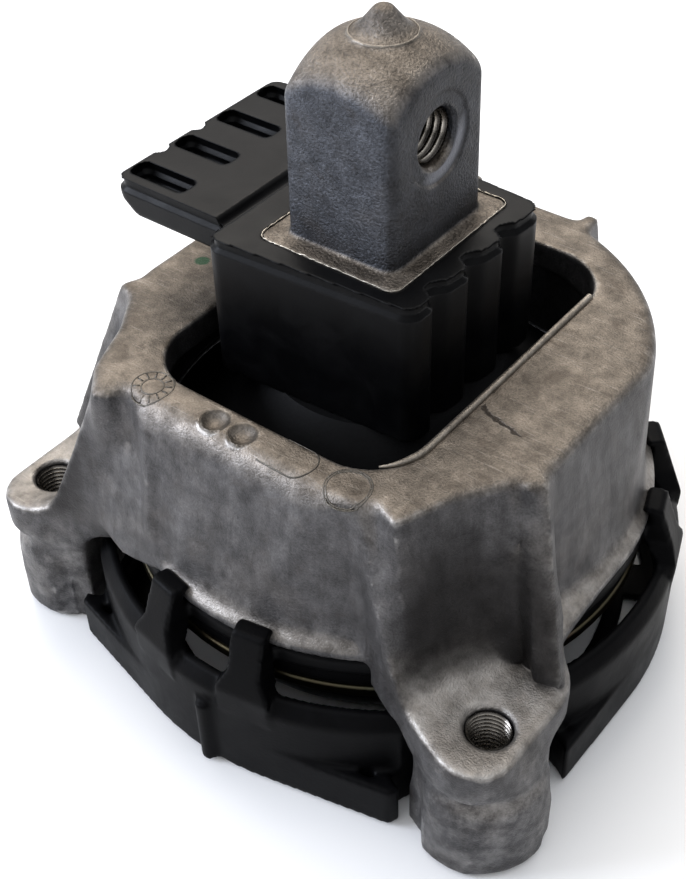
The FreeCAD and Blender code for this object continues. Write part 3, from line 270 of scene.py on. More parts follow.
        # Painted shade: a dark ring round the hole where a groove's shade would fall.
        groove_shade = maths(tree, "MULTIPLY", ramp(tree, from_hole, 9.0, 9.5),
                       ramp(tree, from_hole, 9.7, 10.3, 1, 0))
        tint = coat(tree, tint, facet, 0.35, "#2b2825")
        tint = coat(tree, tint, maths(tree, "MULTIPLY", groove_shade, facet), 0.45, "#211f1e")
        tint = coat(tree, tint, maths(tree, "MULTIPLY", lit_crescent, facet), 0.75, "#8b8d94")
        tree.links.new(tint, shader.inputs["Base Color"])
    tree.links.new(bump(tree, height, 0.42 if post else 0.18), shader.inputs["Normal"])
    return material


def moulded_black(name, base, dusty, rough, grain_mm, depth_mm, specular=0.5):
    """Black moulding: deep body colour, soft sheen from a fine skin, greyer where handled."""
    material, tree, shader, mm = start(name)
    geometry = add(tree, "ShaderNodeNewGeometry").outputs
    smear = grain(tree, mm, 9, 6, 0.6, 0.5)
    fine = grain(tree, mm, grain_mm, 2)
    worn = ramp(tree, geometry["Pointiness"], 0.53, 0.62)
    tint = blend(tree, ramp(tree, smear, 0.45, 0.75, 0.0, 0.6), base, dusty)
    tint = coat(tree, tint, worn, 0.5, dusty)
    tree.links.new(tint, shader.inputs["Base Color"])
    tree.links.new(ramp(tree, smear, 0.3, 0.75, rough - 0.06, rough + 0.1), shader.inputs["Roughness"])
    shader.inputs["Specular IOR Level"].default_value = specular
    tree.links.new(bump(tree, fine, depth_mm), shader.inputs["Normal"])
    return material


def zinc_yellow():
    """Yellow passivated zinc on pressed steel: brassy with drifts of green and rose, its colours darkened
    as painted shade for the recess under the housing's lip.
    """
    material, tree, shader, mm = start("yellow_zinc_steel")
    drift = grain(tree, mm, 11, 3, 0.5, 1.2)
    fine = grain(tree, mm, 0.8, 2)
    # The zinc colours are kept dark as painted shade under the housing's lip.
    tint = blend(tree, ramp(tree, drift, 0.35, 0.65), "#4b4535", "#434236")
    tint = blend(tree, ramp(tree, grain(tree, mm, 6, 4), 0.52, 0.75, 0, 0.5), tint, "#4f3f38")
    tree.links.new(tint, shader.inputs["Base Color"])
    shader.inputs["Metallic"].default_value = 1.0
    tree.links.new(ramp(tree, fine, 0.3, 0.7, 0.28, 0.42), shader.inputs["Roughness"])
    tree.links.new(bump(tree, fine, 0.03), shader.inputs["Normal"])
    return material


def cut_metal(name, colour, rough, line_mm, root=None):
    """Machined metal: bright, with fine turned lines that drag the highlights out; given a root colour,
    painted shade in the roots and painted highlights on the crests.
    """
    material, tree, shader, mm = start(name)
    lines = grain(tree, mm, line_mm, 2)
    if root is not None:
        # Painted light: crests lighter, roots darker, by pointiness.
        crest_light = ramp(tree, add(tree, "ShaderNodeNewGeometry").outputs["Pointiness"], 0.485, 0.535)
        colour = blend(tree, crest_light, root, colour)
    tint = blend(tree, ramp(tree, lines, 0.35, 0.7, 0, 0.4), colour, "#6e6a66")
    tree.links.new(tint, shader.inputs["Base Color"])
    shader.inputs["Metallic"].default_value = 1.0
    tree.links.new(ramp(tree, lines, 0.3, 0.7, rough - 0.06, rough + 0.08), shader.inputs["Roughness"])
    tree.links.new(bump(tree, lines, 0.03), shader.inputs["Normal"])
    return material


# Blasted casting: dull warm grey, rubbed bright on the edges (partly a painted highlight), with painted
# shade in the foot pockets and plate marks.
housing_metal = cast_aluminium("die_cast_aluminium_housing", "#504f50", "#726a61", "#cbc8c4", 0.45, 0.70,
                               marks=True)
# Sand-rough casting: cooler and coarser, with a machined facet round the cross hole in painted shade, a
# painted dark ring on it and a painted highlight in a crescent.
core_metal = cast_aluminium("die_cast_aluminium_core", "#4a4c51", "#6f675e", "#b5aea5", 0.6, 0.62,
                            post=True)
# Raised marks on the casting: dark and nearly even, painted shade for the shadows beside their lines.
stamp_metal = cast_aluminium("die_cast_aluminium_stamp", "#262625", "#34312c", "#6f6b65", 0.5, 0.8)
# Flash, where metal crept between the die halves: a little paler than the skin round it.
flash_metal = cast_aluminium("die_cast_aluminium_flash", "#6d675f", "#7d756b", "#a39c92", 0.5, 0.7)
# Rubber from a polished mould: near black with a satin sheen.
cap_rubber = moulded_black("moulded_rubber_satin", "#040405", "#0d0d0e", 0.4, 0.6, 0.02, 0.12)
# Rubber from a rough mould: matt, with a coarser skin.
spring_rubber = moulded_black("moulded_rubber_matt", "#060607", "#101011", 0.6, 0.9, 0.05, 0.12)
# Injection-moulded nylon: black, with a fine grain and hardly a highlight.
guard_plastic = moulded_black("glass_filled_nylon", "#040405", "#0b0b0d", 0.45, 0.7, 0.04, 0.06)
# Dipped coat on sheet steel: smooth black, the glossiest of the black parts.
pan_coat = moulded_black("black_coated_sheet_steel", "#060607", "#0e0e10", 0.35, 0.5, 0.02, 0.2)
clamp_zinc = zinc_yellow()
# Tapped thread: painted highlights on the crests between roots in painted shade.
thread_metal = cut_metal("cut_thread_aluminium", "#d2cbc0", 0.24, 0.35, "#33302d")
# Torn flash: fresh bright metal with no skin on it.
bare_metal = cut_metal("bright_torn_aluminium", "#b9b2a6", 0.4, 0.5)
# Pressed steel: plain grey with fine drawn lines.
ring_steel = cut_metal("pressed_steel", "#9a9a9c", 0.34, 0.5)
# Plates faced on a lathe: pale, with wider lines.
plate_metal = cut_metal("die_cast_channel_plate", "#b0b0b2", 0.4, 0.7)


# Pieces

def link(name, mesh, material):
    """A smooth shaded object at the origin that shows the mesh."""
    piece = bpy.data.objects.new(name, mesh)
    bpy.context.scene.collection.objects.link(piece)
    mesh.materials.clear()
    mesh.materials.append(material)
    for polygon in mesh.polygons:
        polygon.use_smooth = True
    return piece


def evaluated(piece, name):
    """The piece's mesh with its modifiers applied."""
    graph = bpy.context.evaluated_depsgraph_get()
    mesh = bpy.data.meshes.new_from_object(piece.evaluated_get(graph))
    mesh.name = name
    return mesh


def raw_copy(node_name, name, lumps=()):
    """A closed copy of a CAD node; each lump is the convex hull of its points, let into the casting."""
    shell = bmesh.new()
    shell.from_mesh(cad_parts[node_name].data)
    bmesh.ops.remove_doubles(shell, verts=shell.verts, dist=1e-6)
    bmesh.ops.recalc_face_normals(shell, faces=shell.faces)
    for lump in lumps:
        corners = [shell.verts.new(Vector(point) * MM) for point in lump]
        hull = bmesh.ops.convex_hull(shell, input=corners)
        spare = hull["geom_interior"] + hull["geom_unused"]
        loose = {item for item in spare if isinstance(item, bmesh.types.BMVert)}
        bmesh.ops.delete(shell, geom=list(loose), context="VERTS")
    mesh = bpy.data.meshes.new(name + "_raw")
    shell.to_mesh(mesh)
    shell.free()
    source = bpy.data.objects.new(name + "_raw", mesh)
    bpy.context.scene.collection.objects.link(source)
    return source


def places(mesh):
    """The mesh's points as an array in millimetres."""
    flat = numpy.empty(len(mesh.vertices) * 3, dtype=numpy.float64)
    mesh.vertices.foreach_get("co", flat)
    return flat.reshape(-1, 3) / MM


def put_back(mesh, points):
    """Set the mesh's points from an array in millimetres."""
    mesh.vertices.foreach_set("co", (points * MM).astype(numpy.float32).ravel())
    mesh.update()


def rising(values, start, width):
    """0 up to start, then rising to 1 across the width."""
    return numpy.clip((values - start) / width, 0, 1)


def falling(values, end, width):
    """1 at first, then falling across the width to 0 at end."""
    return numpy.clip((end - values) / width, 0, 1)


def relaxed(mesh, weight, rounds, fill_only):
    """Even the surface out. With fill_only it only ever gains metal, as a mould's inner corners do."""
    pairs = numpy.empty(len(mesh.edges) * 2, dtype=numpy.int64)
    mesh.edges.foreach_get("vertices", pairs)
    pairs = pairs.reshape(-1, 2)
    pairs = pairs[(weight[pairs] > 0).any(1)]
    chosen, local = numpy.unique(pairs, return_inverse=True)
    local = local.reshape(-1, 2)
    first = numpy.concatenate((local[:, 0], local[:, 1]))
    second = numpy.concatenate((local[:, 1], local[:, 0]))
    count = len(chosen)
    near = numpy.maximum(numpy.bincount(first, minlength=count), 1)
    whole = places(mesh)
    points = whole[chosen]
    pull = (0.6 * weight[chosen])[:, None]
    facing = numpy.empty(len(mesh.vertices) * 3)
    for i in range(rounds):
        if i % 12 == 0 and fill_only:
            whole[chosen] = points
            put_back(mesh, whole)
            mesh.vertices.foreach_get("normal", facing)
            out = facing.reshape(-1, 3)[chosen]
        mean = numpy.stack([numpy.bincount(first, points[second, k], count) for k in range(3)], 1)
        step = mean / near[:, None] - points
        if fill_only:
            rise = (step * out).sum(1)
            step = out * numpy.maximum(rise, 0)[:, None]
        points = points + step * pull
    whole[chosen] = points
    put_back(mesh, whole)


def softened(node_name, name, material, voxel_mm, rounds, keep, open_holes=(), lumps=(), shape=None):
    """A copy of a CAD node with the soft edges and inner corners that a mould gives.

    Each open hole is kept round, and wide enough for its thread, by pushing the points in it outward.
    """
    source = raw_copy(node_name, name, lumps)
    remesh = source.modifiers.new("remesh", "REMESH")
    remesh.mode = "VOXEL"
    remesh.voxel_size = voxel_mm * MM
    soften = source.modifiers.new("soften", "SMOOTH")
    soften.factor = 0.5
    soften.iterations = rounds
    full = evaluated(source, name + "_full")
    source.modifiers.clear()
    if shape is not None:
        shape(full)
    source.data = full
    thin = source.modifiers.new("thin", "DECIMATE")
    thin.ratio = keep
    mesh = evaluated(source, name)
    bpy.data.objects.remove(source)
    points = places(mesh)
    for origin, axis, low, mouth, radius, flare in open_holes:
        origin, axis = numpy.array(origin, dtype=float), numpy.array(axis, dtype=float)
        along = (points - origin) @ axis
        spoke = points - origin - along[:, None] * axis
        length = numpy.linalg.norm(spoke, axis=1)
        wide = radius + numpy.maximum(0, flare - (mouth - along))
        inside = (along > low) & (along < mouth + 0.4) & (length < wide) & (length > 1e-3)
        points[inside] += spoke[inside] * (wide[inside] / length[inside] - 1)[:, None]
    put_back(mesh, points)
    piece = link(name, mesh, material)
    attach(piece, "root")
    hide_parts(node_name)
    return piece


# The housing's cast form: round bosses under the feet, thick rib ends and webs, deep smooth pockets

def boss_radius(turn):
    """Radius of a foot's boss about its bolt hole, by the angle off the foot's own direction."""
    return 12.2 + 3.0 * (numpy.minimum(numpy.abs(turn), 95) / 90) ** 1.7


def round_boss(points, x, y):
    """Swell a foot's block to the round boss, with a sloping facet up to the pad's edge."""
    outward = math.degrees(math.atan2(y, x))
    dx, dy = points[:, 0] - x, points[:, 1] - y
    radius = numpy.hypot(dx, dy)
    turn = (numpy.degrees(numpy.arctan2(dy, dx)) - outward + 180) % 360 - 180
    core, top, reach, half_turn = 6.3, 34.0, 19, 100
    mine = (numpy.abs(turn) < half_turn) & (radius > core) & (radius < reach)
    mine &= (points[:, 2] < top) & (points[:, 2] > -1)
    # The wall as it stands, in columns of 5 degrees and rows of 2 mm
    column = ((turn[mine] + half_turn) / 5).astype(int)
    row = numpy.clip(points[mine, 2] / 2, 0, 17).astype(int)
    wall = numpy.full((41, 18), core + 0.5)
    numpy.maximum.at(wall, (column, row), radius[mine])
    for _ in range(2):
        grown = numpy.pad(wall, 1, mode="edge")
        wall = (grown[:-2, 1:-1] + grown[2:, 1:-1] + grown[1:-1, :-2] + grown[1:-1, 2:] + 2 * wall) / 6
    a = numpy.clip((turn[mine] + half_turn) / 5 - 0.5, 0, 39.999)
    b = numpy.clip(points[mine, 2] / 2 - 0.5, 0, 16.999)
    i, j = a.astype(int), b.astype(int)
    u, v = a - i, b - j
    here = ((1 - u) * (1 - v) * wall[i, j] + u * (1 - v) * wall[i + 1, j]
            + (1 - u) * v * wall[i, j + 1] + u * v * wall[i + 1, j + 1])
    flange = (1 - u) * wall[i, 15] + u * wall[i + 1, 15]
    rise = rising(points[mine, 2], 22, top - 22)
    foot_round = numpy.clip(1 - points[mine, 2] / 2.5, 0, 1) ** 2 * 1.2
    wanted = numpy.maximum(boss_radius(turn[mine]), flange) - foot_round
    wanted = wanted * (1 - rise) + here * rise
    fade = falling(numpy.abs(turn[mine]), half_turn, 20)
    gain = 1 + fade * numpy.maximum(0, (wanted - core) / (here - core) - 1)
    swollen = core + (radius[mine] - core) * gain
    points[mine, 0] = x + dx[mine] * swollen / radius[mine]
    points[mine, 1] = y + dy[mine] * swollen / radius[mine]


def cast_form(mesh):
    """Work the remeshed housing over as its mould was: fillets first, then bosses and dents."""
    points = places(mesh)
    reach = numpy.hypot(points[:, 0], points[:, 1])
    outside = rising(reach, 52, 4) * rising(points[:, 2], 30, 6)
    relaxed(mesh, outside, 90, True)
    relaxed(mesh, outside, 10, False)
    # Deep round corners in the pocket above each foot
    points = places(mesh)
    pocket = numpy.zeros(len(points))
    for x, y in FOOT_HOLES.values():
        inner = 1 - 7.0 / math.hypot(x, y)
        away = numpy.hypot(points[:, 0] - x * inner, points[:, 1] - y * inner)
        pocket = numpy.maximum(pocket, falling(away, 24, 6))
    pocket *= rising(points[:, 2], 33, 5) * falling(points[:, 2], 78, 6)
    relaxed(mesh, pocket, 420, True)
    # A shallow fold in the left part of the front wall, then the round brow above that wall
    points = places(mesh)
    fold = numpy.abs(points[:, 0] + 23 - (80 - points[:, 2]) * 0.08) / 3.4
    on_wall = (points[:, 1] < -50) & (fold < 1)
    fade = rising(points[:, 2], 40, 10) * falling(points[:, 2], 80, 6)
    points[on_wall, 1] -= (1.1 * (1 - fold ** 2) ** 2 * fade)[on_wall]
    put_back(mesh, points)
    brow = falling(points[:, 1], -50, 3) * rising(points[:, 2], 66, 6)
    relaxed(mesh, brow * falling(numpy.abs(points[:, 0]), 36, 4), 36, False)
    # The bosses, and their join to the walls and to the left web evened out
    points = places(mesh)
    blend_zone = numpy.zeros(len(points))
    for x, y in FOOT_HOLES.values():
        round_boss(points, x, y)
        away = numpy.hypot(points[:, 0] - x, points[:, 1] - y)
        blend_zone = numpy.maximum(blend_zone, falling(away, 21, 3) * (away > 8))
    blend_zone *= rising(points[:, 2], 12, 6) * falling(points[:, 2], 34.5, 3)
    web = falling(points[:, 1], -50, 2) * falling(points[:, 2], 48, 4)
    web *= falling(points[:, 0], -12, 3) * rising(points[:, 0], -48, 3)
    put_back(mesh, points)
    relaxed(mesh, numpy.maximum(blend_zone, web * (points[:, 2] > 28)), 45, False)
    points = places(mesh)
    for x, y in DIMPLES:
        away = numpy.hypot(points[:, 0] - x, points[:, 1] - y) / DIMPLE_RADIUS
        dent = (points[:, 2] > PLATE_Z - 3) & (away < 1)
        points[dent, 2] = PLATE_Z - 0.1 - DIMPLE_DEPTH * (1 - away[dent] ** 2)
    put_back(mesh, points)


def mirrored(lump):
    """The same lump on the left side."""
    return [(-x, y, z) for x, y, z in lump]


# The far rib of each front foot and the fill beside it, the end of the left near rib, and its web
far_rib = [(57.3, -25.0, 80.8), (52.3, -27.0, 80.8), (50.5, -21.0, 80.8), (54.5, -19.5, 80.6),
           (70.6, -36.2, 38.5), (64.8, -38.2, 38.5), (58.0, -29.0, 38.5), (64.0, -26.0, 40.0)]
far_fill = [(52.5, -26.5, 76.0), (50.5, -31.0, 72.0), (52.0, -24.0, 76.0), (60.2, -34.8, 38.0),
            (50.4, -34.8, 36.5), (53.0, -28.0, 37.0), (55.4, -29.9, 60.0), (51.8, -32.0, 60.0)]
near_rib_end = [(-34.4, -57.4, 80.0), (-29.8, -55.8, 80.6), (-38.8, -52.0, 80.6), (-32.0, -49.0, 80.0),
                (-37.5, -54.2, 48.0), (-45.0, -53.0, 48.0), (-36.0, -49.0, 48.0)]
left_web = [(-33.0, -52.7, 64.6), (-24.2, -54.2, 68.9), (-38.5, -55.8, 48.5), (-18.0, -57.0, 58.4),
            (-40.0, -57.2, 35.6), (-31.0, -60.6, 35.6), (-19.5, -60.8, 37.0), (-15.5, -58.2, 47.5),
            (-30.0, -48.0, 40.0), (-20.0, -50.0, 44.0)]
housing_lumps = [far_rib, mirrored(far_rib), far_fill, mirrored(far_fill), near_rib_end, left_web]


def cap_form(mesh):
    """The cap's parting step below its top edge, and the trough where the flap folds up."""
    points = places(mesh)
    facing = numpy.empty(len(points) * 3)
    mesh.vertices.foreach_get("normal", facing)
    out = facing.reshape(-1, 3)
    outer = (numpy.abs(points[:, 0]) > 19.2) | (numpy.abs(points[:, 1]) > 22.2)
    rim = outer & (points[:, 2] > 103.6) & (numpy.abs(out[:, 2]) < 0.75)
    points[rim, :2] -= out[rim, :2] * 0.95
    across = numpy.abs(points[:, 0] + 27.3) / 1.7
    trough = (across < 1) & (points[:, 2] > 103) & (out[:, 2] > 0.2)
    points[trough, 2] -= 1.9 * (1 - across[trough] ** 2)
    put_back(mesh, points)


foot_openings = [((x, y, 0), (0, 0, 1), -1, FOOT_TOP, FOOT_MAJOR + BORE_MARGIN, 0.9)
                 for x, y in FOOT_HOLES.values()]
post_opening = ((0, 0, POST_HOLE_Z), (1, 0, 0), POST_FACE_X - POST_BORE_DEPTH, POST_FACE_X,
                POST_MAJOR + BORE_MARGIN, 0.8)
softened("housing", "cast_housing", housing_metal, 0.65, 7, 0.36, foot_openings, housing_lumps, cast_form)
softened("core", "cast_core", core_metal, 0.45, 6, 0.5, [post_opening])
softened("stop_cap", "rubber_stop_cap", cap_rubber, 0.45, 3, 0.5, shape=cap_form)
softened("guard_ring", "plastic_guard_ring", guard_plastic, 0.6, 3, 0.5)

for node_name, material in (
        ("main_spring", spring_rubber), ("spring_ring", ring_steel), ("clamp_ring", clamp_zinc),
        ("channel_upper", plate_metal), ("channel_lower", plate_metal),
        ("membrane", spring_rubber), ("bellows", spring_rubber), ("pan", pan_coat)):
    node_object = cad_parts[node_name]
    if node_object.data.materials:
        for i in range(len(node_object.data.materials)):
            node_object.material_slots[i].material = material
    else:
        node_object.data.materials.append(material)


# Threads: one tree that gives a fine tube the helical wall of a cut thread

def thread_tree():
    """Tube along Z whose radius follows a triangle wave that climbs one pitch a turn."""
    tree = bpy.data.node_groups.new("cut_thread", "GeometryNodeTree")
    for name, kind in (("Major", "Float"), ("Minor", "Float"), ("Pitch", "Float"),
                       ("Length", "Float"), ("Metal", "Material")):
        tree.interface.new_socket(name, in_out="INPUT", socket_type="NodeSocket" + kind)
    tree.interface.new_socket("Mesh", in_out="OUTPUT", socket_type="NodeSocketGeometry")
    given = add(tree, "NodeGroupInput").outputs
    steps = maths(tree, "MULTIPLY", maths(tree, "DIVIDE", given["Length"], given["Pitch"]), 10.0)
    tube = add(tree, "GeometryNodeMeshCylinder", {
        "Vertices": 48, "Side Segments": steps, "Radius": 1.0, "Depth": given["Length"]},
        fill_type="NONE")
    place = add(tree, "GeometryNodeInputPosition").outputs[0]
    xyz = add(tree, "ShaderNodeSeparateXYZ", {0: place}).outputs
    turn = maths(tree, "DIVIDE", maths(tree, "ARCTAN2", xyz[1], xyz[0]), 2 * math.pi)
    climb = maths(tree, "SUBTRACT", maths(tree, "DIVIDE", xyz[2], given["Pitch"]), turn)
    wave = maths(tree, "PINGPONG", climb, 0.5)
    wave = maths(tree, "MULTIPLY", wave, 2.0)
    depth = maths(tree, "SUBTRACT", given["Major"], given["Minor"])
    radius = maths(tree, "SUBTRACT", given["Major"], maths(tree, "MULTIPLY", wave, depth))
    flat = add(tree, "ShaderNodeCombineXYZ", {0: xyz[0], 1: xyz[1]}).outputs[0]
    spoke = add(tree, "ShaderNodeVectorMath", {0: flat}, operation="NORMALIZE").outputs[0]
    ring = add(tree, "ShaderNodeVectorMath", {0: spoke, "Scale": radius}, operation="SCALE").outputs[0]
    lift = add(tree, "ShaderNodeCombineXYZ", {2: xyz[2]}).outputs[0]
    point = add(tree, "ShaderNodeVectorMath", {0: ring, 1: lift}, operation="ADD").outputs[0]
    shaped = add(tree, "GeometryNodeSetPosition", {"Geometry": tube.outputs["Mesh"], "Position": point})
    inward = add(tree, "GeometryNodeFlipFaces", {"Mesh": shaped.outputs[0]})
    whole = add(tree, "GeometryNodeRealizeInstances", {"Geometry": inward.outputs[0]})
    painted = add(tree, "GeometryNodeSetMaterial", {"Geometry": whole.outputs[0],
                                                    "Material": given["Metal"]})
    add(tree, "NodeGroupOutput", {"Mesh": painted.outputs[0]})
    return tree


threads = thread_tree()


def made_by(tree, name, values, place, material):
    """Run a tree once with these inputs and keep the result as a plain piece at its place."""
    carrier = bpy.data.objects.new(name + "_maker", bpy.data.meshes.new(name + "_maker"))
    bpy.context.scene.collection.objects.link(carrier)
    modifier = carrier.modifiers.new("maker", "NODES")
    modifier.node_group = tree
    sockets = {item.name: item.identifier for item in tree.interface.items_tree
               if item.item_type == "SOCKET" and item.in_out == "INPUT"}
    for key, value in values.items():
        modifier[sockets[key]] = value
    mesh = evaluated(carrier, name)
    bpy.data.objects.remove(carrier)
    mesh.transform(place)
    piece = link(name, mesh, material)
    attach(piece, "root")
    return piece


for side, (x, y) in FOOT_HOLES.items():
    made_by(threads, "foot_thread_" + side,
            {"Major": FOOT_MAJOR * MM, "Minor": FOOT_MINOR * MM, "Pitch": FOOT_PITCH * MM,
             "Length": FOOT_THREAD_LENGTH * MM, "Metal": thread_metal},
            Matrix.Translation(Vector((x, y, FOOT_THREAD_MIDDLE)) * MM), thread_metal)
post_middle = POST_FACE_X - POST_THREAD_START - POST_THREAD_LENGTH / 2
made_by(threads, "post_thread",
        {"Major": POST_MAJOR * MM, "Minor": POST_MINOR * MM, "Pitch": POST_PITCH * MM,
         "Length": POST_THREAD_LENGTH * MM, "Metal": thread_metal},
        Matrix.Translation(Vector((post_middle, 0, POST_HOLE_Z)) * MM)
        @ Matrix.Rotation(math.radians(90), 4, "Y"), thread_metal)


# Cast edges: the bead beside the window, the torn flash round the ledge and the ring at the gate nub

def laid_on(piece, surface_name, level_mm):
    """Move each point of the piece up or down by as much as the cast surface is off level there."""
    surface = BVHTree.FromObject(bpy.data.objects[surface_name], bpy.context.evaluated_depsgraph_get())
    for vertex in piece.data.vertices:
        hit = surface.ray_cast(Vector((vertex.co.x, vertex.co.y, 0.2)), Vector((0, 0, -1)))[0]
        if hit is not None:
            vertex.co.z += max(hit.z - level_mm * MM, -2 * MM)


def rounded_box(half_x, half_y, radius, steps):
    """Points of a rounded rectangle, anticlockwise, in millimetres."""
    points = []
    for sign_x, sign_y, first in ((1, 1, 0), (-1, 1, 90), (-1, -1, 180), (1, -1, 270)):
        for i in range(steps + 1):
            a = math.radians(first + 90 * i / steps)
            points.append((sign_x * (half_x - radius) + radius * math.cos(a),
                           sign_y * (half_y - radius) + radius * math.sin(a)))
    return points


def ridge(name, points, thickness, material, closed=False):
    """A bead of metal along points; thickness gives the radius at each of them."""
    curve = bpy.data.curves.new(name, "CURVE")
    curve.dimensions = "3D"
    curve.bevel_depth = MM
    curve.bevel_resolution = 3
    curve.use_fill_caps = True
    line = curve.splines.new("POLY")
    line.points.add(len(points) - 1)
    for point, place, radius in zip(line.points, points, thickness):
        point.co = (*[value * MM for value in place], 1)
        point.radius = radius
    line.use_cyclic_u = closed
    holder = bpy.data.objects.new(name + "_line", curve)
    bpy.context.scene.collection.objects.link(holder)
    mesh = evaluated(holder, name)
    bpy.data.objects.remove(holder)
    piece = link(name, mesh, material)
    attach(piece, "root")
    return piece


bead_line = []
bead_x, corner_y = WINDOW_HALF[0] - 0.1, WINDOW_HALF[1] - WINDOW_ROUND
for i in range(8):
    a = math.radians(-48 + 48 * i / 7)
    bead_line.append((bead_x - WINDOW_ROUND + WINDOW_ROUND * math.cos(a),
                      -corner_y + WINDOW_ROUND * math.sin(a), PLATE_Z))
bead_line += [(bead_x, -corner_y + 62 * i / 20, PLATE_Z) for i in range(1, 21)]
bead_size = [0.25 + 0.6 * min(1, i / 4) for i in range(len(bead_line))]
ridge("window_bead", bead_line, bead_size, flash_metal)

flash_line, flash_size = [], []
tear_step = 0.6
outline = rounded_box(LEDGE_HALF[0] + 0.05, LEDGE_HALF[1] + 0.05, 2.5, 6)
outline.append(outline[0])
for (x0, y0), (x1, y1) in zip(outline, outline[1:]):
    length = math.hypot(x1 - x0, y1 - y0)
    for i in range(max(1, int(length / tear_step))):
        t = i * tear_step / length
        x, y = x0 + (x1 - x0) * t, y0 + (y1 - y0) * t
        tear = noise.noise(Vector((x * 0.9, y * 0.9, 3.0)))
        flash_line.append((x, y, LEDGE_Z + 0.05 + 0.25 * tear))
        flash_size.append(max(0.04, 0.13 + 0.26 * noise.noise(Vector((x * 1.7, y * 1.7, 9.0)))))
ridge("ledge_flash", flash_line, flash_size, bare_metal, closed=True)

gate_line, gate_size = [], []
for i in range(80):
    a = math.radians(360 * i / 80)
    tear = noise.noise(Vector((5 * math.cos(a), 5 * math.sin(a), 1.0)))
    radius = GATE_RADIUS + 0.2 * tear
    gate_line.append((radius * math.cos(a), radius * math.sin(a), GATE_Z))
    gate_size.append(0.24 + 0.12 * tear)
gate_flash = ridge("gate_flash", gate_line, gate_size, flash_metal, closed=True)
laid_on(gate_flash, "cast_core", GATE_Z)


# Stamps: two date rings with ticks, and a slot-shaped mark

def stamp_tree():
    """Raised circle, smaller circle and evenly set ticks between them."""
    tree = bpy.data.node_groups.new("date_stamp", "GeometryNodeTree")
    for name, kind in (("Radius", "Float"), ("Inner", "Float"), ("Line", "Float"), ("Ticks", "Int"),
                       ("Tick Length", "Float"), ("Metal", "Material")):
        tree.interface.new_socket(name, in_out="INPUT", socket_type="NodeSocket" + kind)
    tree.interface.new_socket("Mesh", in_out="OUTPUT", socket_type="NodeSocketGeometry")
    given = add(tree, "NodeGroupInput").outputs
    section = add(tree, "GeometryNodeCurvePrimitiveCircle", {"Resolution": 6, "Radius": given["Line"]})
    rings = []
    for radius in (given["Radius"], given["Inner"]):
        circle = add(tree, "GeometryNodeCurvePrimitiveCircle", {"Resolution": 48, "Radius": radius})
        rings.append(add(tree, "GeometryNodeCurveToMesh", {
            "Curve": circle.outputs[0], "Profile Curve": section.outputs[0]}).outputs[0])
    middle = maths(tree, "MULTIPLY", maths(tree, "ADD", given["Radius"], given["Inner"]), 0.5)
    seats = add(tree, "GeometryNodeMeshCircle", {"Vertices": given["Ticks"], "Radius": middle})
    width = maths(tree, "MULTIPLY", given["Line"], 1.6)
    bar_size = add(tree, "ShaderNodeCombineXYZ", {0: given["Tick Length"], 1: width, 2: width})
    bar = add(tree, "GeometryNodeMeshCube", {"Size": bar_size.outputs[0]})
    place = add(tree, "GeometryNodeInputPosition").outputs[0]
    turned = add(tree, "FunctionNodeAlignRotationToVector", {"Vector": place}, axis="X")
    ticks = add(tree, "GeometryNodeInstanceOnPoints", {
        "Points": seats.outputs[0], "Instance": bar.outputs[0], "Rotation": turned.outputs[0]})
    joined = tree.nodes.new("GeometryNodeJoinGeometry")
    for part in rings + [ticks.outputs[0]]:
        tree.links.new(part, joined.inputs[0])
    whole = add(tree, "GeometryNodeRealizeInstances", {"Geometry": joined.outputs[0]})
    painted = add(tree, "GeometryNodeSetMaterial", {"Geometry": whole.outputs[0],
                                                    "Material": given["Metal"]})
    add(tree, "NodeGroupOutput", {"Mesh": painted.outputs[0]})
    return tree


stamps = stamp_tree()
for name, middle_x, sink, radius, inner, line, tick in (
        ("date_clock", -24.9, 0.05, 4.6, 2.4, 0.2, 1.5),
        ("plain_clock", 26.7, 0.06, 4.8, 4.35, 0.19, 0.5)):
    values = {"Radius": radius * MM, "Inner": inner * MM, "Line": line * MM, "Ticks": 12,
              "Tick Length": tick * MM, "Metal": stamp_metal}
    seat = Matrix.Translation(Vector((middle_x, -48.2, PLATE_Z - sink)) * MM)
    laid_on(made_by(stamps, name, values, seat, stamp_metal), "cast_housing", PLATE_Z)

slot_x, slot_y, slot_round = 14.6, -48.1, 3.9
slot_line = [(6.5, -51.9, PLATE_Z)]
for degrees in range(-90, 91, 12):
    a = math.radians(degrees)
    slot_line.append((slot_x + slot_round * math.cos(a), slot_y + slot_round * math.sin(a), PLATE_Z))
slot_line.append((9.0, -44.2, PLATE_Z))
slot_stamp = ridge("slot_stamp", slot_line, [0.16] * len(slot_line), stamp_metal)
laid_on(slot_stamp, "cast_housing", PLATE_Z)


# Floor, light and camera

FLOOR_HALF = 3.0
floor_corners = [(FLOOR_HALF * x, FLOOR_HALF * y, 0) for x, y in ((-1, -1), (1, -1), (1, 1), (-1, 1))]
floor_mesh = bpy.data.meshes.new("floor")
floor_mesh.from_pydata(floor_corners, [], [(0, 1, 2, 3)])
# Matt paper: near white and even, so that only the soft shadow shows on it.
paper = bpy.data.materials.new("pale_paper")
paper.use_nodes = True
paper.node_tree.nodes["Principled BSDF"].inputs["Base Color"].default_value = linear("#f8f8f8")
paper.node_tree.nodes["Principled BSDF"].inputs["Roughness"].default_value = 0.9
floor_mesh.materials.append(paper)
floor = bpy.data.objects.new("floor", floor_mesh)
bpy.context.scene.collection.objects.link(floor)

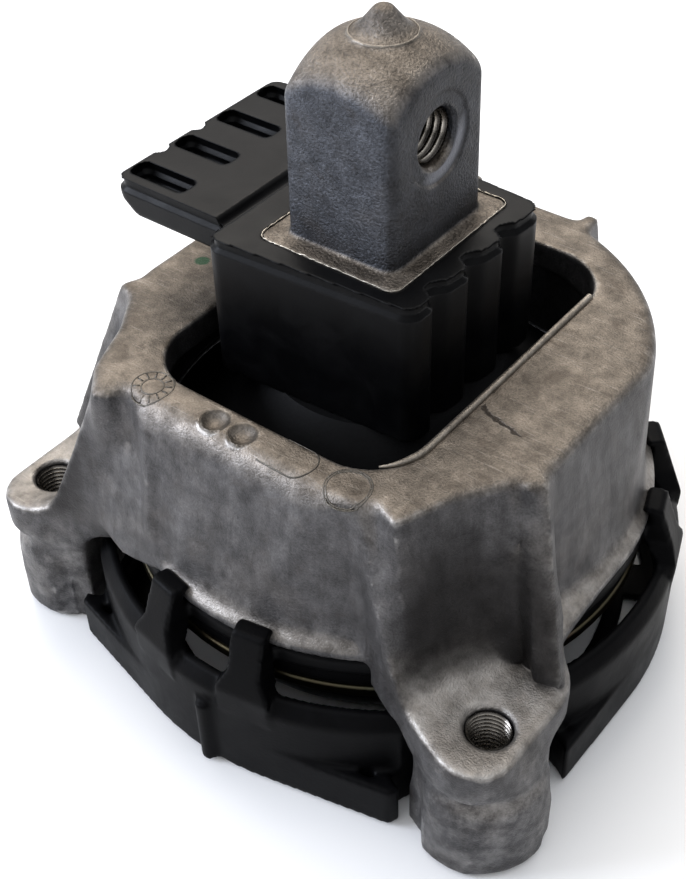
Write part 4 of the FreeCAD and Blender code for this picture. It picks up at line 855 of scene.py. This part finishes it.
world = bpy.data.worlds.new("studio")
world.use_nodes = True
sky = world.node_tree
ray = add(sky, "ShaderNodeSeparateXYZ", {0: add(sky, "ShaderNodeTexCoord").outputs["Generated"]}).outputs
from_left = maths(sky, "SUBTRACT", 0.235, maths(sky, "MULTIPLY", ray[0], 0.22))
overhead = maths(sky, "MULTIPLY", maths(sky, "MAXIMUM", ray[2], 0.0), 1.2)
sky.links.new(maths(sky, "ADD", from_left, overhead), sky.nodes["Background"].inputs["Strength"])
sky.nodes["Background"].inputs["Color"].default_value = linear("#f6f8fc")
bpy.context.scene.world = world
bpy.context.scene.view_settings.view_transform = "Standard"


def soft_box(name, place, target, size_m, watts, colour):
    """A square area light that faces its target."""
    lamp = bpy.data.lights.new(name, "AREA")
    lamp.size = size_m
    lamp.energy = watts
    lamp.color = linear(colour)[:3]
    holder = bpy.data.objects.new(name, lamp)
    holder.location = place
    holder.rotation_mode = "QUATERNION"
    holder.rotation_quaternion = (Vector(target) - Vector(place)).to_track_quat("-Z", "Y")
    bpy.context.scene.collection.objects.link(holder)


MIDDLE = (0, 0, 0.07)
soft_box("top_light", (-0.4, 0.4, 0.85), MIDDLE, 0.7, 6, "#fff6ea")
soft_box("left_light", (-0.8, -0.65, 0.5), MIDDLE, 0.45, 10, "#e4ebfa")

AZIMUTH, ELEVATION, ROLL = math.radians(39.08), math.radians(41.67), math.radians(-1.96)
CAMERA_MM = (148.8, -199.6, 266.1)
FOCAL_PX, LONG_SIDE_PX, SENSOR_MM = 1400.5, 879, 36.0
right = Vector((math.cos(AZIMUTH), math.sin(AZIMUTH), 0))
back = Vector((math.sin(AZIMUTH) * math.cos(ELEVATION), -math.cos(AZIMUTH) * math.cos(ELEVATION),
               math.sin(ELEVATION)))
above = back.cross(right)
rolled_right = right * math.cos(ROLL) + above * math.sin(ROLL)
rolled_up = above * math.cos(ROLL) - right * math.sin(ROLL)
camera_data = bpy.data.cameras.new("camera")
camera_data.sensor_width = SENSOR_MM
camera_data.lens = FOCAL_PX / LONG_SIDE_PX * SENSOR_MM
camera_data.clip_start = 0.01
camera = bpy.data.objects.new("camera", camera_data)
camera.matrix_world = Matrix.Translation(Vector(CAMERA_MM) * MM) @ Matrix(
    (rolled_right, rolled_up, back)).transposed().to_4x4()
bpy.context.scene.collection.objects.link(camera)
bpy.context.scene.camera = camera
